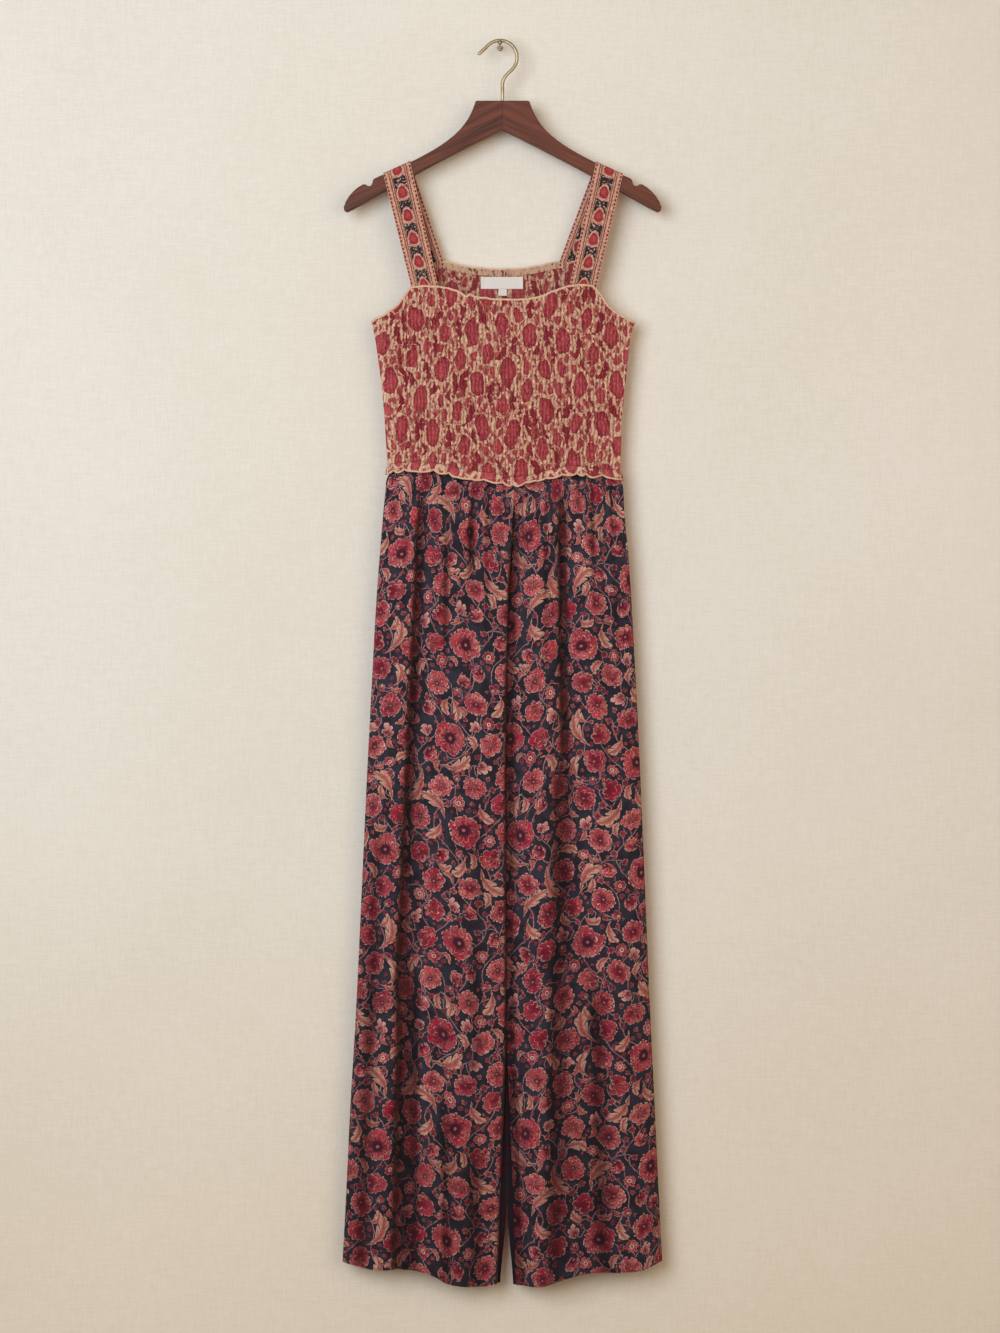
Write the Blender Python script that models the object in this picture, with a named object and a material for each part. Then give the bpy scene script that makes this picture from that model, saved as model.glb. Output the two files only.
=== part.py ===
"""Jumpsuit on a wooden hanger: smocked bodice on two straps over wide-leg trousers.

Metres, +Z up. The origin is the point where the hanger's hook hangs on the wall pin,
on the underside of the hook's wire. The garment's front faces -Y and the wall lies
towards +Y. "left" and "right" are the wearer's: the wearer's left is at +X.
Tables are in millimetres and each names its columns.
"""
from collections import namedtuple

import bmesh
import bpy
import numpy as np

MM = 0.001

# ---- Clearances and cloth thickness (mm)
SEAM_GAP = 0.3            # between two pieces that are sewn or rest on each other
HALF_GAP = SEAM_GAP / 2
BODICE_WALL = 1.4         # smocked cloth between its rows
RIB_HEIGHT = 1.2          # how far a gathered row stands above the cloth between rows
PUCKER_SHARE = 0.5        # height of every other pucker along a row, as a share
TROUSER_WALL = 1.6
FRILL_WALL = 1.2
STRAP_WALL = 1.6
LABEL_WALL = 0.7

# ---- Wall pin and hanger hook (mm)
PIN_RADIUS = 1.6
PIN_LENGTH = 28.0         # from the hook's plane back to the wall
PIN_FLANGE_RADIUS = 3.6
PIN_FLANGE_THICKNESS = 2.0
PIN_KNOB_RADIUS = 3.0
PIN_KNOB_START = -3.0     # where the knob's back begins, just in front of the wire
PIN_KNOB_LENGTH = 5.0
PIN_SIDES = 16
WIRE_RADIUS = 2.0
HOOK_BEND_RADIUS = 22.2   # of the wire's centre line
HOOK_BEND_START = -48.0   # degrees, where the bend leaves the neck
HOOK_BEND_END = 134.0     # degrees, where the bend runs out into the straight tip
HOOK_TIP_LENGTH = 18.0
HOOK_NECK_TOP = -56.0     # z where the straight shank ends
HOOK_DEPTH_IN_WOOD = 16.0
HOOK_NECK_PULL = 9.0      # Bezier handles of the S between shank and bend
HOOK_BEND_PULL = 8.0

# ---- Wooden hanger (mm), mirrored about its own centre line
HANGER_CENTRE = 3.3       # x of the centre line: the hook's shank
HANGER_THICKNESS = 12.0
HANGER_EDGE_ROUND = 1.4
BLOCK_TOP = -77.2
BLOCK_HALF_WIDTH = 35.7
BLOCK_CORNER = 3.0
FLARE_PULL_BLOCK = (45.0, -108.0)    # Bezier handles of the concave flare, from the
FLARE_PULL_ARM = (60.0, -128.0)      # centre line outwards and in z
ARM_START = (119.7, -157.0)          # where the flare has become the straight arm
ARM_SLOPE = -0.455
NOTCH_INNER = 168.2
UNDER_APEX = -114.4
UNDER_SLOPE = -0.49
UNDER_CURVE = -0.00022
UNDER_SPAN = (190.0, 20.0)           # stretch of the underside that has points of its own
BEVEL_LEAST_ANGLE = 60               # degrees: only the front and back edges are rounded

# Outer end of the arm from the notch to the tip: distance from centre, z.
ARM_END = (
    # out     z
    (169.6, -185.6),
    (171.4, -187.8),
    (174.6, -188.0),
    (178.6, -185.6),
    (181.6, -185.9),
    (187.6, -189.6),
    (193.6, -194.6),
    (199.2, -201.0),
    (203.6, -208.4),
    (206.2, -215.4),
    (205.6, -219.4),
    (201.8, -221.2),
)

# ---- Straps (mm): the middle of each end, at the arm and at the neckline
STRAP_WIDTH = 35.0
STRAP_SEWN_DEPTH = 9.0    # how far an end reaches down behind the bodice's top edge
STRAP_ACROSS = 4
STRAP_TOP_ROUND = 1.8     # inner radius where the strap turns over the arm
STRAP_ROW_SHARES = (0.16, 0.4, 0.7, 1.0)    # of the way from the arm to the sewn end
STRAP_LEAVES_ARM = 0.25   # share of that way where it begins to move towards the bodice
STRAPS = (
    # name           x_arm   x_front  z_front  x_back  z_back
    ("strap_right", -134.0, -97.4, -320.6, -91.0, -284.4),
    ("strap_left", 142.0, 107.5, -319.0, 94.6, -284.4),
)

# ---- Bodice outline (mm)
BODICE_SIDES = (
    # z       x_right  x_left
    (-585.0, -146.8, 158.6),
    (-560.0, -146.4, 158.0),
    (-538.0, -147.2, 157.2),
    (-500.0, -149.5, 158.4),
    (-456.0, -153.1, 162.0),
    (-408.0, -159.1, 166.8),
    (-378.0, -163.9, 171.0),
    (-366.0, -167.0, 175.6),
)
FRONT_TOP = (
    # x       z
    (-167.0, -366.0),
    (-150.8, -356.0),
    (-133.9, -345.0),
    (-122.4, -330.0),
    (-114.7, -320.8),
    (-97.0, -319.6),
    (-78.7, -320.8),
    (-58.5, -325.2),
    (-40.3, -332.4),
    (-15.0, -335.8),
    (10.4, -337.4),
    (30.0, -336.8),
    (46.4, -334.8),
    (68.0, -327.0),
    (89.7, -319.6),
    (104.0, -318.0),
    (118.3, -318.6),
    (128.2, -328.0),
    (140.1, -344.8),
    (154.6, -355.6),
    (175.6, -366.0),
)
BACK_TOP = (
    # x       z
    (-167.0, -366.0),
    (-150.8, -357.0),
    (-133.9, -347.0),
    (-121.0, -332.0),
    (-113.5, -309.0),
    (-109.0, -285.6),
    (-91.0, -283.4),
    (-73.0, -284.4),
    (-52.0, -289.4),
    (-26.0, -293.2),
    (3.0, -294.6),
    (30.0, -293.2),
    (55.0, -289.0),
    (76.0, -284.4),
    (94.6, -283.4),
    (113.0, -285.6),
    (120.5, -309.0),
    (128.5, -330.0),
    (140.1, -346.0),
    (154.6, -356.4),
    (175.6, -366.0),
)
FRILL_HEM = (
    # x       z
    (-150.0, -560.5),
    (-124.0, -558.0),
    (-98.0, -557.6),
    (-47.3, -566.8),
    (2.6, -574.4),
    (15.2, -577.0),
    (36.0, -575.0),
    (58.5, -569.4),
    (94.5, -562.5),
    (130.0, -566.0),
    (162.0, -567.6),
)
RIB_ROWS = 33             # gathered rows of elastic thread on each panel
FRONT_DEPTH = 12.5        # of the hollow in front of the garment's middle plane
BACK_DEPTH = 11.0
BODICE_SECTION = (3.0, 0.8)    # powers of the lens section
INSIDE_ROWS = 6

# ---- Frill at the bodice's hem (mm)
FRILL_DROP = 11.0
FRILL_TOP_GAP = 0.5       # below the last gathered row, whose facets are longer
FRILL_FLARE = 7.0
FRILL_WAVES = 17
FRILL_WAVE_DEPTH = 1.9
FRILL_WAVE_DROP = 0.9
FRILL_SPREAD = 2.4        # how far it stands past the bodice at each side
FRILL_COLUMNS_PER_WAVE = 4
FRILL_FALL = (0.0, 0.55, 1.0)  # rows of points, as shares of the drop
FRILL_END_POWER = 40      # the flare stops short of the two side seams

# ---- Trousers outline (mm): the two side seams and the line between the legs
TROUSER_SIDES = (
    # z        x_right  x_left
    (-1640.0, -209.0, 214.5),
    (-1586.0, -204.8, 211.0),
    (-1357.0, -193.0, 199.8),
    (-1297.0, -189.2, 196.8),
    (-923.0, -171.3, 181.0),
    (-810.0, -165.3, 175.4),
    (-740.0, -161.5, 171.6),
    (-670.0, -156.5, 167.0),
    (-612.0, -151.6, 161.8),
    (-582.0, -148.8, 160.2),
    (-571.0, -147.8, 158.2),
    (-564.0, -145.4, 153.4),
    (-557.0, -139.4, 149.6),
    (-540.0, -138.0, 149.0),
)
CENTRE_LINE = (
    # z        x      gap between the legs
    (-1640.0, 8.4, 25.0),
    (-1616.0, 8.6, 23.5),
    (-1480.0, 9.0, 14.5),
    (-1360.0, 8.6, 5.0),
    (-1290.0, 8.0, 0.3),
    (-920.0, 8.0, 0.3),
    (-740.0, 11.0, 0.3),
    (-640.0, 16.0, 0.3),
    (-560.0, 19.0, 0.3),
)
CROTCH_Z = -863.0
# Hem height along each leg: share of the way from the inner edge to the side seam.
RIGHT_HEM = (
    # share  z
    (0.00, -1613.0),
    (0.14, -1615.0),
    (0.31, -1610.5),
    (0.41, -1600.0),
    (0.52, -1594.0),
    (0.80, -1591.5),
    (1.00, -1585.0),
)
LEFT_HEM = (
    # share  z
    (0.00, -1615.5),
    (0.16, -1614.5),
    (0.33, -1604.5),
    (0.52, -1596.0),
    (0.83, -1594.0),
    (1.00, -1583.5),
)
TROUSER_COLUMNS = 20
TROUSER_ROWS = 16
TROUSER_ROW_POWER = 1.45  # above 1, rows crowd towards the waist
TOP_BEHIND_BODICE = 4.0   # the seam's allowance, up behind the last gathered row
TOP_FLAT = 6.0            # of the top that lies flat against the bodice's inner face
FRONT_BULGE = (15.0, 21.0)     # at the hip and at the hem
BACK_BULGE = (12.0, 15.0)
LEG_SECTION = (3.4, 0.72)
SETTLE_LENGTH = 170.0     # below the waist, where two legs have formed

# Soft folds that run down the legs. Widths are to each side of the crest or trough,
# towards -X and +X; depth is out of the garment (+) or into it (-).
FRONT_FOLDS = (
    # x_waist  x_hem  wide_minus  wide_plus  depth  z_start  z_end
    (-97.0, -134.0, 9.0, 13.0, -7.5, -570.0, -1700.0),
    (-78.0, -108.0, 20.0, 22.0, -4.5, -600.0, -1700.0),
    (-60.0, -74.0, 8.0, 16.0, 3.5, -900.0, -1700.0),
    (-39.0, -40.0, 10.0, 12.0, -5.0, -565.0, -900.0),
    (-125.0, -166.0, 16.0, 12.0, 3.0, -570.0, -1700.0),
    (-12.0, -20.0, 14.0, 12.0, 3.0, -575.0, -1700.0),
    (40.0, 52.0, 14.0, 18.0, 4.0, -570.0, -1700.0),
    (79.0, 96.0, 12.0, 10.0, -6.0, -565.0, -1250.0),
    (104.0, 150.0, 14.0, 20.0, 3.0, -565.0, -1700.0),
    (128.0, 176.0, 8.0, 10.0, -4.0, -565.0, -1050.0),
    (100.0, 112.0, 20.0, 14.0, -3.0, -1100.0, -1700.0),
)
BACK_FOLDS = (
    # x_waist  x_hem  wide_minus  wide_plus  depth  z_start  z_end
    (-110.0, -150.0, 10.0, 12.0, -4.5, -570.0, -1700.0),
    (-66.0, -96.0, 14.0, 14.0, 4.0, -570.0, -1700.0),
    (-34.0, -50.0, 10.0, 12.0, -4.0, -565.0, -1500.0),
    (56.0, 70.0, 12.0, 12.0, -4.5, -570.0, -1700.0),
    (92.0, 124.0, 14.0, 14.0, 4.0, -570.0, -1700.0),
    (128.0, 166.0, 10.0, 10.0, -4.0, -565.0, -1400.0),
)
GATHERS = 9               # small gathers along each panel's waist
GATHER_DEPTH = 2.1
GATHER_LENGTH = 75.0      # over which they die away
FOLD_WIDENING = 0.35      # how much wider a fold is at the hem, as a share
FOLD_FADE_IN = 90.0       # length over which a fold forms below its start
FOLD_FADE_OUT = 160.0     # and over which it dies away above its end
FOLDS_FORM = (8.0, 60.0)  # below the waist, where folds stand free of the seam
GATHERS_FORM = (4.0, 40.0)
SEAT_FULLNESS = 6.0       # how far the centre seam stands out above the crotch
EDGE_POWER = 8            # folds and gathers stop short of a panel's edges

# ---- Label and size tab inside the back neckline (mm)
LABEL = (-25.0, 30.0, -303.8, -319.4)          # x_from, x_to, z_top, z_bottom
SIZE_TAB = (-2.0, 8.8, -319.7, -328.4)

# ---- Colours (linear RGB), roughness and metallic value
BRASS = ((0.55, 0.42, 0.24), 0.32, 1.0)
WALNUT = ((0.125, 0.045, 0.028), 0.42, 0.0)
MADDER_ON_TAN = ((0.42, 0.12, 0.10), 0.9, 0.0)
STRAP_STRIPE = ((0.40, 0.13, 0.12), 0.9, 0.0)
TAN_EDGE = ((0.62, 0.42, 0.26), 0.9, 0.0)
NAVY_CHINTZ = ((0.045, 0.035, 0.055), 0.9, 0.0)
WHITE_SATIN = ((0.80, 0.78, 0.74), 0.5, 0.0)


Panel = namedtuple("Panel", "name facing top depth bulge folds")
FRONT = Panel("front", -1, FRONT_TOP, FRONT_DEPTH, FRONT_BULGE, FRONT_FOLDS)
BACK = Panel("back", 1, BACK_TOP, BACK_DEPTH, BACK_BULGE, BACK_FOLDS)


def columns(table):
    """The table's columns as arrays, first column increasing."""
    rows = sorted(table)
    return [np.array(column) for column in zip(*rows)]


def smoothstep(start, end, value):
    """0 before start, 1 after end, and an even S between them."""
    t = np.clip((value - start) / (end - start), 0.0, 1.0)
    return t * t * (3 - 2 * t)


def lens(share, powers):
    """A flattened half-lens over 0..1: 0 at both ends, 1 in the middle.

    powers are of the bend towards the ends and of the whole rise.
    """
    bend, rise = powers
    return np.maximum(1 - np.abs(2 * share - 1) ** bend, 0.0) ** rise


def material(name, finish):
    colour, roughness, metallic = finish
    made = bpy.data.materials.new(name)
    made.use_nodes = True
    shader = made.node_tree.nodes["Principled BSDF"]
    shader.inputs["Base Color"].default_value = (*colour, 1.0)
    shader.inputs["Roughness"].default_value = roughness
    shader.inputs["Metallic"].default_value = metallic
    made.diffuse_color = (*colour, 1.0)
    return made


def new_object(name, points_mm, faces, finish, smooth=True):
    """One closed body from points in millimetres, its faces turned outwards."""
    mesh = bpy.data.meshes.new(name)
    points = np.asarray(points_mm, dtype=float) * MM
    mesh.from_pydata([tuple(p) for p in points], [], faces)
    work = bmesh.new()
    work.from_mesh(mesh)
    bmesh.ops.recalc_face_normals(work, faces=work.faces[:])
    work.to_mesh(mesh)
    work.free()
    if smooth:
        mesh.shade_smooth()
        mesh.set_sharp_from_angle(angle=np.radians(50))
    mesh.materials.append(material(name, finish))
    made = bpy.data.objects.new(name, mesh)
    bpy.context.scene.collection.objects.link(made)
    return made


# ---------------------------------------------------------------- cloth walls

def grid_faces(first, rows, cols):
    """Quads of a rows x cols grid of points whose first index is given."""
    index = first + np.arange(rows * cols).reshape(rows, cols)
    return np.stack([index[:-1, :-1], index[:-1, 1:], index[1:, 1:], index[1:, :-1]],
                    axis=-1).reshape(-1, 4).tolist(), index


def border(index):
    """The grid's four sides, each from corner to corner, going once round."""
    return (index[0, :], index[:, -1], index[-1, ::-1], index[::-1, 0])


def strip_between(side_a, side_b):
    """Triangles between two borders that may have different numbers of points."""
    faces = []
    i = j = 0
    last_a, last_b = len(side_a) - 1, len(side_b) - 1
    while i < last_a or j < last_b:
        step_a = j == last_b or (i < last_a and (i + 1) / last_a <= (j + 1) / last_b)
        if step_a:
            faces.append((side_a[i], side_a[i + 1], side_b[j]))
            i += 1
        else:
            faces.append((side_a[i], side_b[j + 1], side_b[j]))
            j += 1
    return faces


def cloth_wall(name, outside, inside, finish):
    """A closed wall between two grids of points, joined along their four sides."""
    points = np.vstack([outside.reshape(-1, 3), inside.reshape(-1, 3)])
    out_faces, out_index = grid_faces(0, *outside.shape[:2])
    in_faces, in_index = grid_faces(outside.size // 3, *inside.shape[:2])
    faces = out_faces + [face[::-1] for face in in_faces]
    for side_a, side_b in zip(border(out_index), border(in_index)):
        faces += [tuple(int(i) for i in face[::-1]) for face in strip_between(side_a, side_b)]
    return new_object(name, points, faces, finish)


# ---------------------------------------------------------------- bodice

def bodice_limits(z):
    side_z, right, left = columns(BODICE_SIDES)
    return np.interp(z, side_z, right), np.interp(z, side_z, left)


def column_shares(top_table):
    """Where a bodice panel's columns stand, from one side seam (0) to the other (1)."""
    top_x, _ = columns(top_table)
    return (top_x - top_x[0]) / (top_x[-1] - top_x[0])


def bodice_inside_depth(x, z, panel):
    """How far the panel's inner face stands from the middle plane, facet by facet."""
    right, left = bodice_limits(z)
    share = np.clip((x - right) / (left - right), 0.0, 1.0)
    shares = column_shares(panel.top)
    return HALF_GAP + panel.depth * np.interp(share, shares, lens(shares, BODICE_SECTION))


def frill_hem(x):
    hem_x, hem_z = columns(FRILL_HEM)
    return np.interp(x, hem_x, hem_z)


def bodice_bottom(panel):
    """x and z of the panel's last gathered row, at its columns."""
    right, left = bodice_limits(FRILL_HEM[0][1])
    x = right + (left - right) * column_shares(panel.top)
    return x, frill_hem(x) + FRILL_DROP


def bodice_grid(panel, rows):
    """x and z of a grid from the top edge down to the last gathered row."""
    _, top = columns(panel.top)
    _, bottom = bodice_bottom(panel)
    z = top + (bottom - top) * np.linspace(0, 1, rows)[:, None]
    right, left = bodice_limits(z)
    return right + (left - right) * column_shares(panel.top), z


def make_bodice(panel):
    """Smocked panel: gathered rows stand out of the outer face over a plain inside."""
    rows = 2 * RIB_ROWS + 1
    x, z = bodice_grid(panel, rows)
    crest = (np.arange(rows) % 2 == 0)[:, None]
    pucker = np.where(np.arange(x.shape[1]) % 2 == 0, 1.0, PUCKER_SHARE)
    away = bodice_inside_depth(x, z, panel) + BODICE_WALL + RIB_HEIGHT * crest * pucker
    outside = np.stack([x, panel.facing * away, z], axis=-1)
    x, z = bodice_grid(panel, INSIDE_ROWS + 1)
    inside = np.stack([x, panel.facing * bodice_inside_depth(x, z, panel), z], axis=-1)
    return cloth_wall("bodice_" + panel.name, outside, inside, MADDER_ON_TAN)


def make_frill(panel):
    """The bodice's free edge below the last gathered row: it flares out in waves."""
    shares = np.linspace(0, 1, FRILL_WAVES * FRILL_COLUMNS_PER_WAVE + 1)
    fall = np.array(FRILL_FALL)[:, None]
    right, left = bodice_limits(FRILL_HEM[0][1])
    x = right + (left - right) * shares + FRILL_SPREAD * fall * (2 * shares - 1)
    wave = np.cos(2 * np.pi * FRILL_WAVES * shares)
    top = np.interp(x, *bodice_bottom(panel)) - FRILL_TOP_GAP
    z = top - (FRILL_DROP - FRILL_TOP_GAP + FRILL_WAVE_DROP * wave) * fall
    ends = 1 - np.abs(2 * shares - 1) ** FRILL_END_POWER
    flare = (FRILL_FLARE * fall + FRILL_WAVE_DEPTH * wave * fall) * ends
    inner = HALF_GAP + panel.depth * lens(shares, BODICE_SECTION) + flare
    outside = np.stack([x, panel.facing * (inner + FRILL_WALL), z], axis=-1)
    inside = np.stack([x, panel.facing * inner, z], axis=-1)
    return cloth_wall("frill_" + panel.name, outside, inside, TAN_EDGE)


# ---------------------------------------------------------------- trousers

def fold_depth(x, z, folds):
    """Sum of the soft folds: bell-shaped across, fading in and out along the leg."""
    total = np.zeros_like(x)
    waist, hem = FRILL_HEM[0][1], RIGHT_HEM[0][1]
    for x_waist, x_hem, wide_minus, wide_plus, depth, z_start, z_end in folds:
        down = np.clip((z - waist) / (hem - waist), 0.0, 1.0)
        offset = x - (x_waist + (x_hem - x_waist) * down)
        width = np.where(offset < 0, wide_minus, wide_plus) * (1 + FOLD_WIDENING * down)
        fade = (smoothstep(z_start, z_start - FOLD_FADE_IN, z)
                * smoothstep(z_end, z_end + FOLD_FADE_OUT, z))
        total += depth * np.exp(-(offset / width) ** 2) * fade
    return total


def trouser_points(side, panel, wall):
    """Grid of one trouser panel: share 0 at the centre seam or inseam, 1 at the side.

    side is +1 for the wearer's left leg and -1 for the right one. wall is how far the
    points stand out of the panel's inner face.
    """
    hem_table = LEFT_HEM if side > 0 else RIGHT_HEM
    bulge = panel.bulge
    shares = np.linspace(0, 1, TROUSER_COLUMNS + 1)
    down = np.linspace(0, 1, TROUSER_ROWS + 1)[:, None] ** TROUSER_ROW_POWER
    hem_share, hem_z = columns(hem_table)
    hem = np.interp(shares, hem_share, hem_z)
    side_z, side_right, side_left = columns(TROUSER_SIDES)
    line_z, line_x, line_gap = columns(CENTRE_LINE)
    side_x = side_left if side > 0 else side_right

    def across(z):
        inner = np.interp(z, line_z, line_x) + side * np.interp(z, line_z, line_gap) / 2
        return inner + (np.interp(z, side_z, side_x) - inner) * shares

    waist = frill_hem(across(TROUSER_SIDES[-1][0])) + FRILL_DROP + TOP_BEHIND_BODICE
    free = waist - TOP_FLAT
    z = np.vstack([waist, free + (hem - free) * down])
    x = across(z)
    below_waist = np.maximum(free - z, 0.0)

    at_waist = bodice_inside_depth(x, z, panel) - SEAM_GAP - TROUSER_WALL
    inner_edge = HALF_GAP + SEAT_FULLNESS * smoothstep(CROTCH_Z, FRILL_HEM[0][1], z)
    edge = inner_edge * (1 - shares) + HALF_GAP * shares
    full = bulge[0] + (bulge[1] - bulge[0]) * (free - z) / (free - hem)
    leg = edge + full * lens(shares, LEG_SECTION)
    formed = smoothstep(0.0, SETTLE_LENGTH, below_waist)
    away = at_waist * (1 - formed) + leg * formed
    free_of_edges = 1 - np.abs(2 * shares - 1) ** EDGE_POWER
    started = smoothstep(*FOLDS_FORM, below_waist)
    away += fold_depth(x, z, panel.folds) * free_of_edges * started
    gather = np.cos(2 * np.pi * GATHERS * shares + side) * np.exp(-below_waist / GATHER_LENGTH)
    away += GATHER_DEPTH * gather * free_of_edges * smoothstep(*GATHERS_FORM, below_waist)
    away = np.maximum(away, HALF_GAP)
    return np.stack([x, panel.facing * (away + wall), z], axis=-1)


def make_trouser_panel(side, panel):
    name = "trouser_" + panel.name + ("_left" if side > 0 else "_right")
    outside = trouser_points(side, panel, TROUSER_WALL)
    inside = trouser_points(side, panel, 0.0)
    return cloth_wall(name, outside, inside, NAVY_CHINTZ)


# ---------------------------------------------------------------- hanger

def arm_top(out):
    """Height of the straight arm's top edge at a distance from the centre line."""
    return ARM_START[1] + ARM_SLOPE * (out - ARM_START[0])


def flare_curve(steps):
    """Cubic Bezier from the block's corner down to the straight arm."""
    start = np.array((BLOCK_HALF_WIDTH, BLOCK_TOP - BLOCK_CORNER))
    t = np.linspace(0, 1, steps)[:, None]
    return ((1 - t) ** 3 * start + 3 * t * (1 - t) ** 2 * np.array(FLARE_PULL_BLOCK)
            + 3 * t ** 2 * (1 - t) * np.array(FLARE_PULL_ARM) + t ** 3 * np.array(ARM_START))


def hanger_half_outline():
    """From the block's top corner round the tip to the apex below, in (out, z)."""
    turn = np.radians(np.linspace(90, 0, 5))
    corner = np.stack([BLOCK_HALF_WIDTH - BLOCK_CORNER + BLOCK_CORNER * np.cos(turn),
                       BLOCK_TOP - BLOCK_CORNER + BLOCK_CORNER * np.sin(turn)], axis=-1)
    notch_top = [(NOTCH_INNER - 2.0, arm_top(NOTCH_INNER - 2.0)),
                 (NOTCH_INNER, arm_top(NOTCH_INNER) - 1.2)]
    out = np.linspace(*UNDER_SPAN, 7)
    under = np.stack([out, UNDER_APEX + UNDER_SLOPE * out + UNDER_CURVE * out ** 2], axis=-1)
    return np.vstack([corner, flare_curve(12)[1:], notch_top, ARM_END, under])


def make_hanger():
    """Flat wooden hanger: its outline is extruded, its edges rounded, its top bored."""
    half = hanger_half_outline()
    apex = [(0.0, UNDER_APEX)]
    outline = np.vstack([half, apex, half[::-1] * (-1, 1)])
    count = len(outline)
    points = [(HANGER_CENTRE + out, y, z) for y in (-HANGER_THICKNESS / 2, HANGER_THICKNESS / 2)
              for out, z in outline]
    ring = np.arange(count)
    faces = [ring.tolist(), (ring[::-1] + count).tolist()]
    faces += [(i, i + count, (i + 1) % count + count, (i + 1) % count) for i in range(count)]
    hanger = new_object("hanger_body", points, faces, WALNUT)
    rounding = hanger.modifiers.new("rounded edges", "BEVEL")
    rounding.width = HANGER_EDGE_ROUND * MM
    rounding.segments = 2
    rounding.limit_method = "ANGLE"
    rounding.angle_limit = np.radians(BEVEL_LEAST_ANGLE)
    bore = rod("shank_bore", WIRE_RADIUS + SEAM_GAP, BLOCK_TOP - HOOK_DEPTH_IN_WOOD - SEAM_GAP,
               BLOCK_TOP + 5.0)
    bore.hide_render = True
    bore.display_type = "WIRE"
    drill = hanger.modifiers.new("shank bore", "BOOLEAN")
    drill.operation = "DIFFERENCE"
    drill.object = bore
    drill.solver = "EXACT"
    return hanger


def rod(name, radius, z_low, z_high, sides=12):
    """Upright round rod on the hanger's centre line."""
    turn = np.linspace(0, 2 * np.pi, sides, endpoint=False)
    ring = np.stack([HANGER_CENTRE + radius * np.cos(turn), radius * np.sin(turn)], axis=-1)
    points = [(x, y, z) for z in (z_low, z_high) for x, y in ring]
    index = np.arange(sides)
    faces = [index.tolist(), (index + sides).tolist()]
    faces += [(i, (i + 1) % sides, (i + 1) % sides + sides, i + sides) for i in range(sides)]
    return new_object(name, points, faces, BRASS)


def hook_path():
    """Centre line in (x, z): shank, a soft S into the bend, the bend, a straight tip."""
    centre_z = WIRE_RADIUS - HOOK_BEND_RADIUS
    turn = np.radians(np.linspace(HOOK_BEND_START, HOOK_BEND_END, 22))
    bend = np.stack([HOOK_BEND_RADIUS * np.cos(turn),
                     centre_z + HOOK_BEND_RADIUS * np.sin(turn)], axis=-1)
    shank_foot = np.array((HANGER_CENTRE, BLOCK_TOP - HOOK_DEPTH_IN_WOOD))
    neck = np.array((HANGER_CENTRE, HOOK_NECK_TOP))
    into_bend = np.array((-np.sin(turn[0]), np.cos(turn[0])))
    t = np.linspace(0, 1, 7)[:-1, None]
    pull_up = neck + (0.0, HOOK_NECK_PULL)
    pull_back = bend[0] - HOOK_BEND_PULL * into_bend
    soft = ((1 - t) ** 3 * neck + 3 * t * (1 - t) ** 2 * pull_up
            + 3 * t ** 2 * (1 - t) * pull_back + t ** 3 * bend[0])
    out = np.array((-np.sin(turn[-1]), np.cos(turn[-1])))
    tip = [bend[-1] + out * HOOK_TIP_LENGTH * share for share in (0.5, 1.0)]
    return np.vstack([shank_foot, soft, bend, tip])


def make_hook():
    """Brass wire hook: a bevelled curve through the centre line, its ends filled."""
    curve = bpy.data.curves.new("hanger_hook", "CURVE")
    curve.dimensions = "3D"
    curve.bevel_depth = WIRE_RADIUS * MM
    curve.bevel_resolution = 2
    curve.use_fill_caps = True
    path = hook_path()
    spline = curve.splines.new("POLY")
    spline.points.add(len(path) - 1)
    for point, (x, z) in zip(spline.points, path):
        point.co = (x * MM, 0.0, z * MM, 1.0)
    curve.materials.append(material("hanger_hook", BRASS))
    hook = bpy.data.objects.new("hanger_hook", curve)
    bpy.context.scene.collection.objects.link(hook)
    return hook


def make_wall_pin():
    """Turned brass pin: flange on the wall, round shaft and a knob that keeps the hook."""
    knob = np.radians(np.linspace(0, 80, 6))
    knob_middle = PIN_KNOB_START - PIN_KNOB_LENGTH / 2
    half = PIN_KNOB_LENGTH / 2
    profile = [(PIN_LENGTH, PIN_FLANGE_RADIUS),
               (PIN_LENGTH - PIN_FLANGE_THICKNESS * 0.6, PIN_FLANGE_RADIUS),
               (PIN_LENGTH - PIN_FLANGE_THICKNESS, PIN_FLANGE_RADIUS - 1.0),
               (PIN_LENGTH - PIN_FLANGE_THICKNESS, PIN_RADIUS),
               (PIN_KNOB_START, PIN_RADIUS),
               (PIN_KNOB_START - 0.6, PIN_KNOB_RADIUS * 0.86)]
    profile += [(knob_middle - half * np.sin(a), PIN_KNOB_RADIUS * np.cos(a)) for a in knob]
    axis_z = -SEAM_GAP - PIN_RADIUS
    turn = np.linspace(0, 2 * np.pi, PIN_SIDES, endpoint=False)
    points = [(r * np.cos(a), y, axis_z + r * np.sin(a)) for y, r in profile for a in turn]
    index = np.arange(len(profile) * PIN_SIDES).reshape(len(profile), PIN_SIDES)
    after = np.roll(index, -1, axis=1)
    faces = np.stack([index[:-1], after[:-1], after[1:], index[1:]], axis=-1)
    faces = faces.reshape(-1, 4).tolist()
    faces += [index[0].tolist(), index[-1].tolist()]
    return new_object("wall_pin", points, faces, BRASS)


# ---------------------------------------------------------------- straps and label

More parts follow.
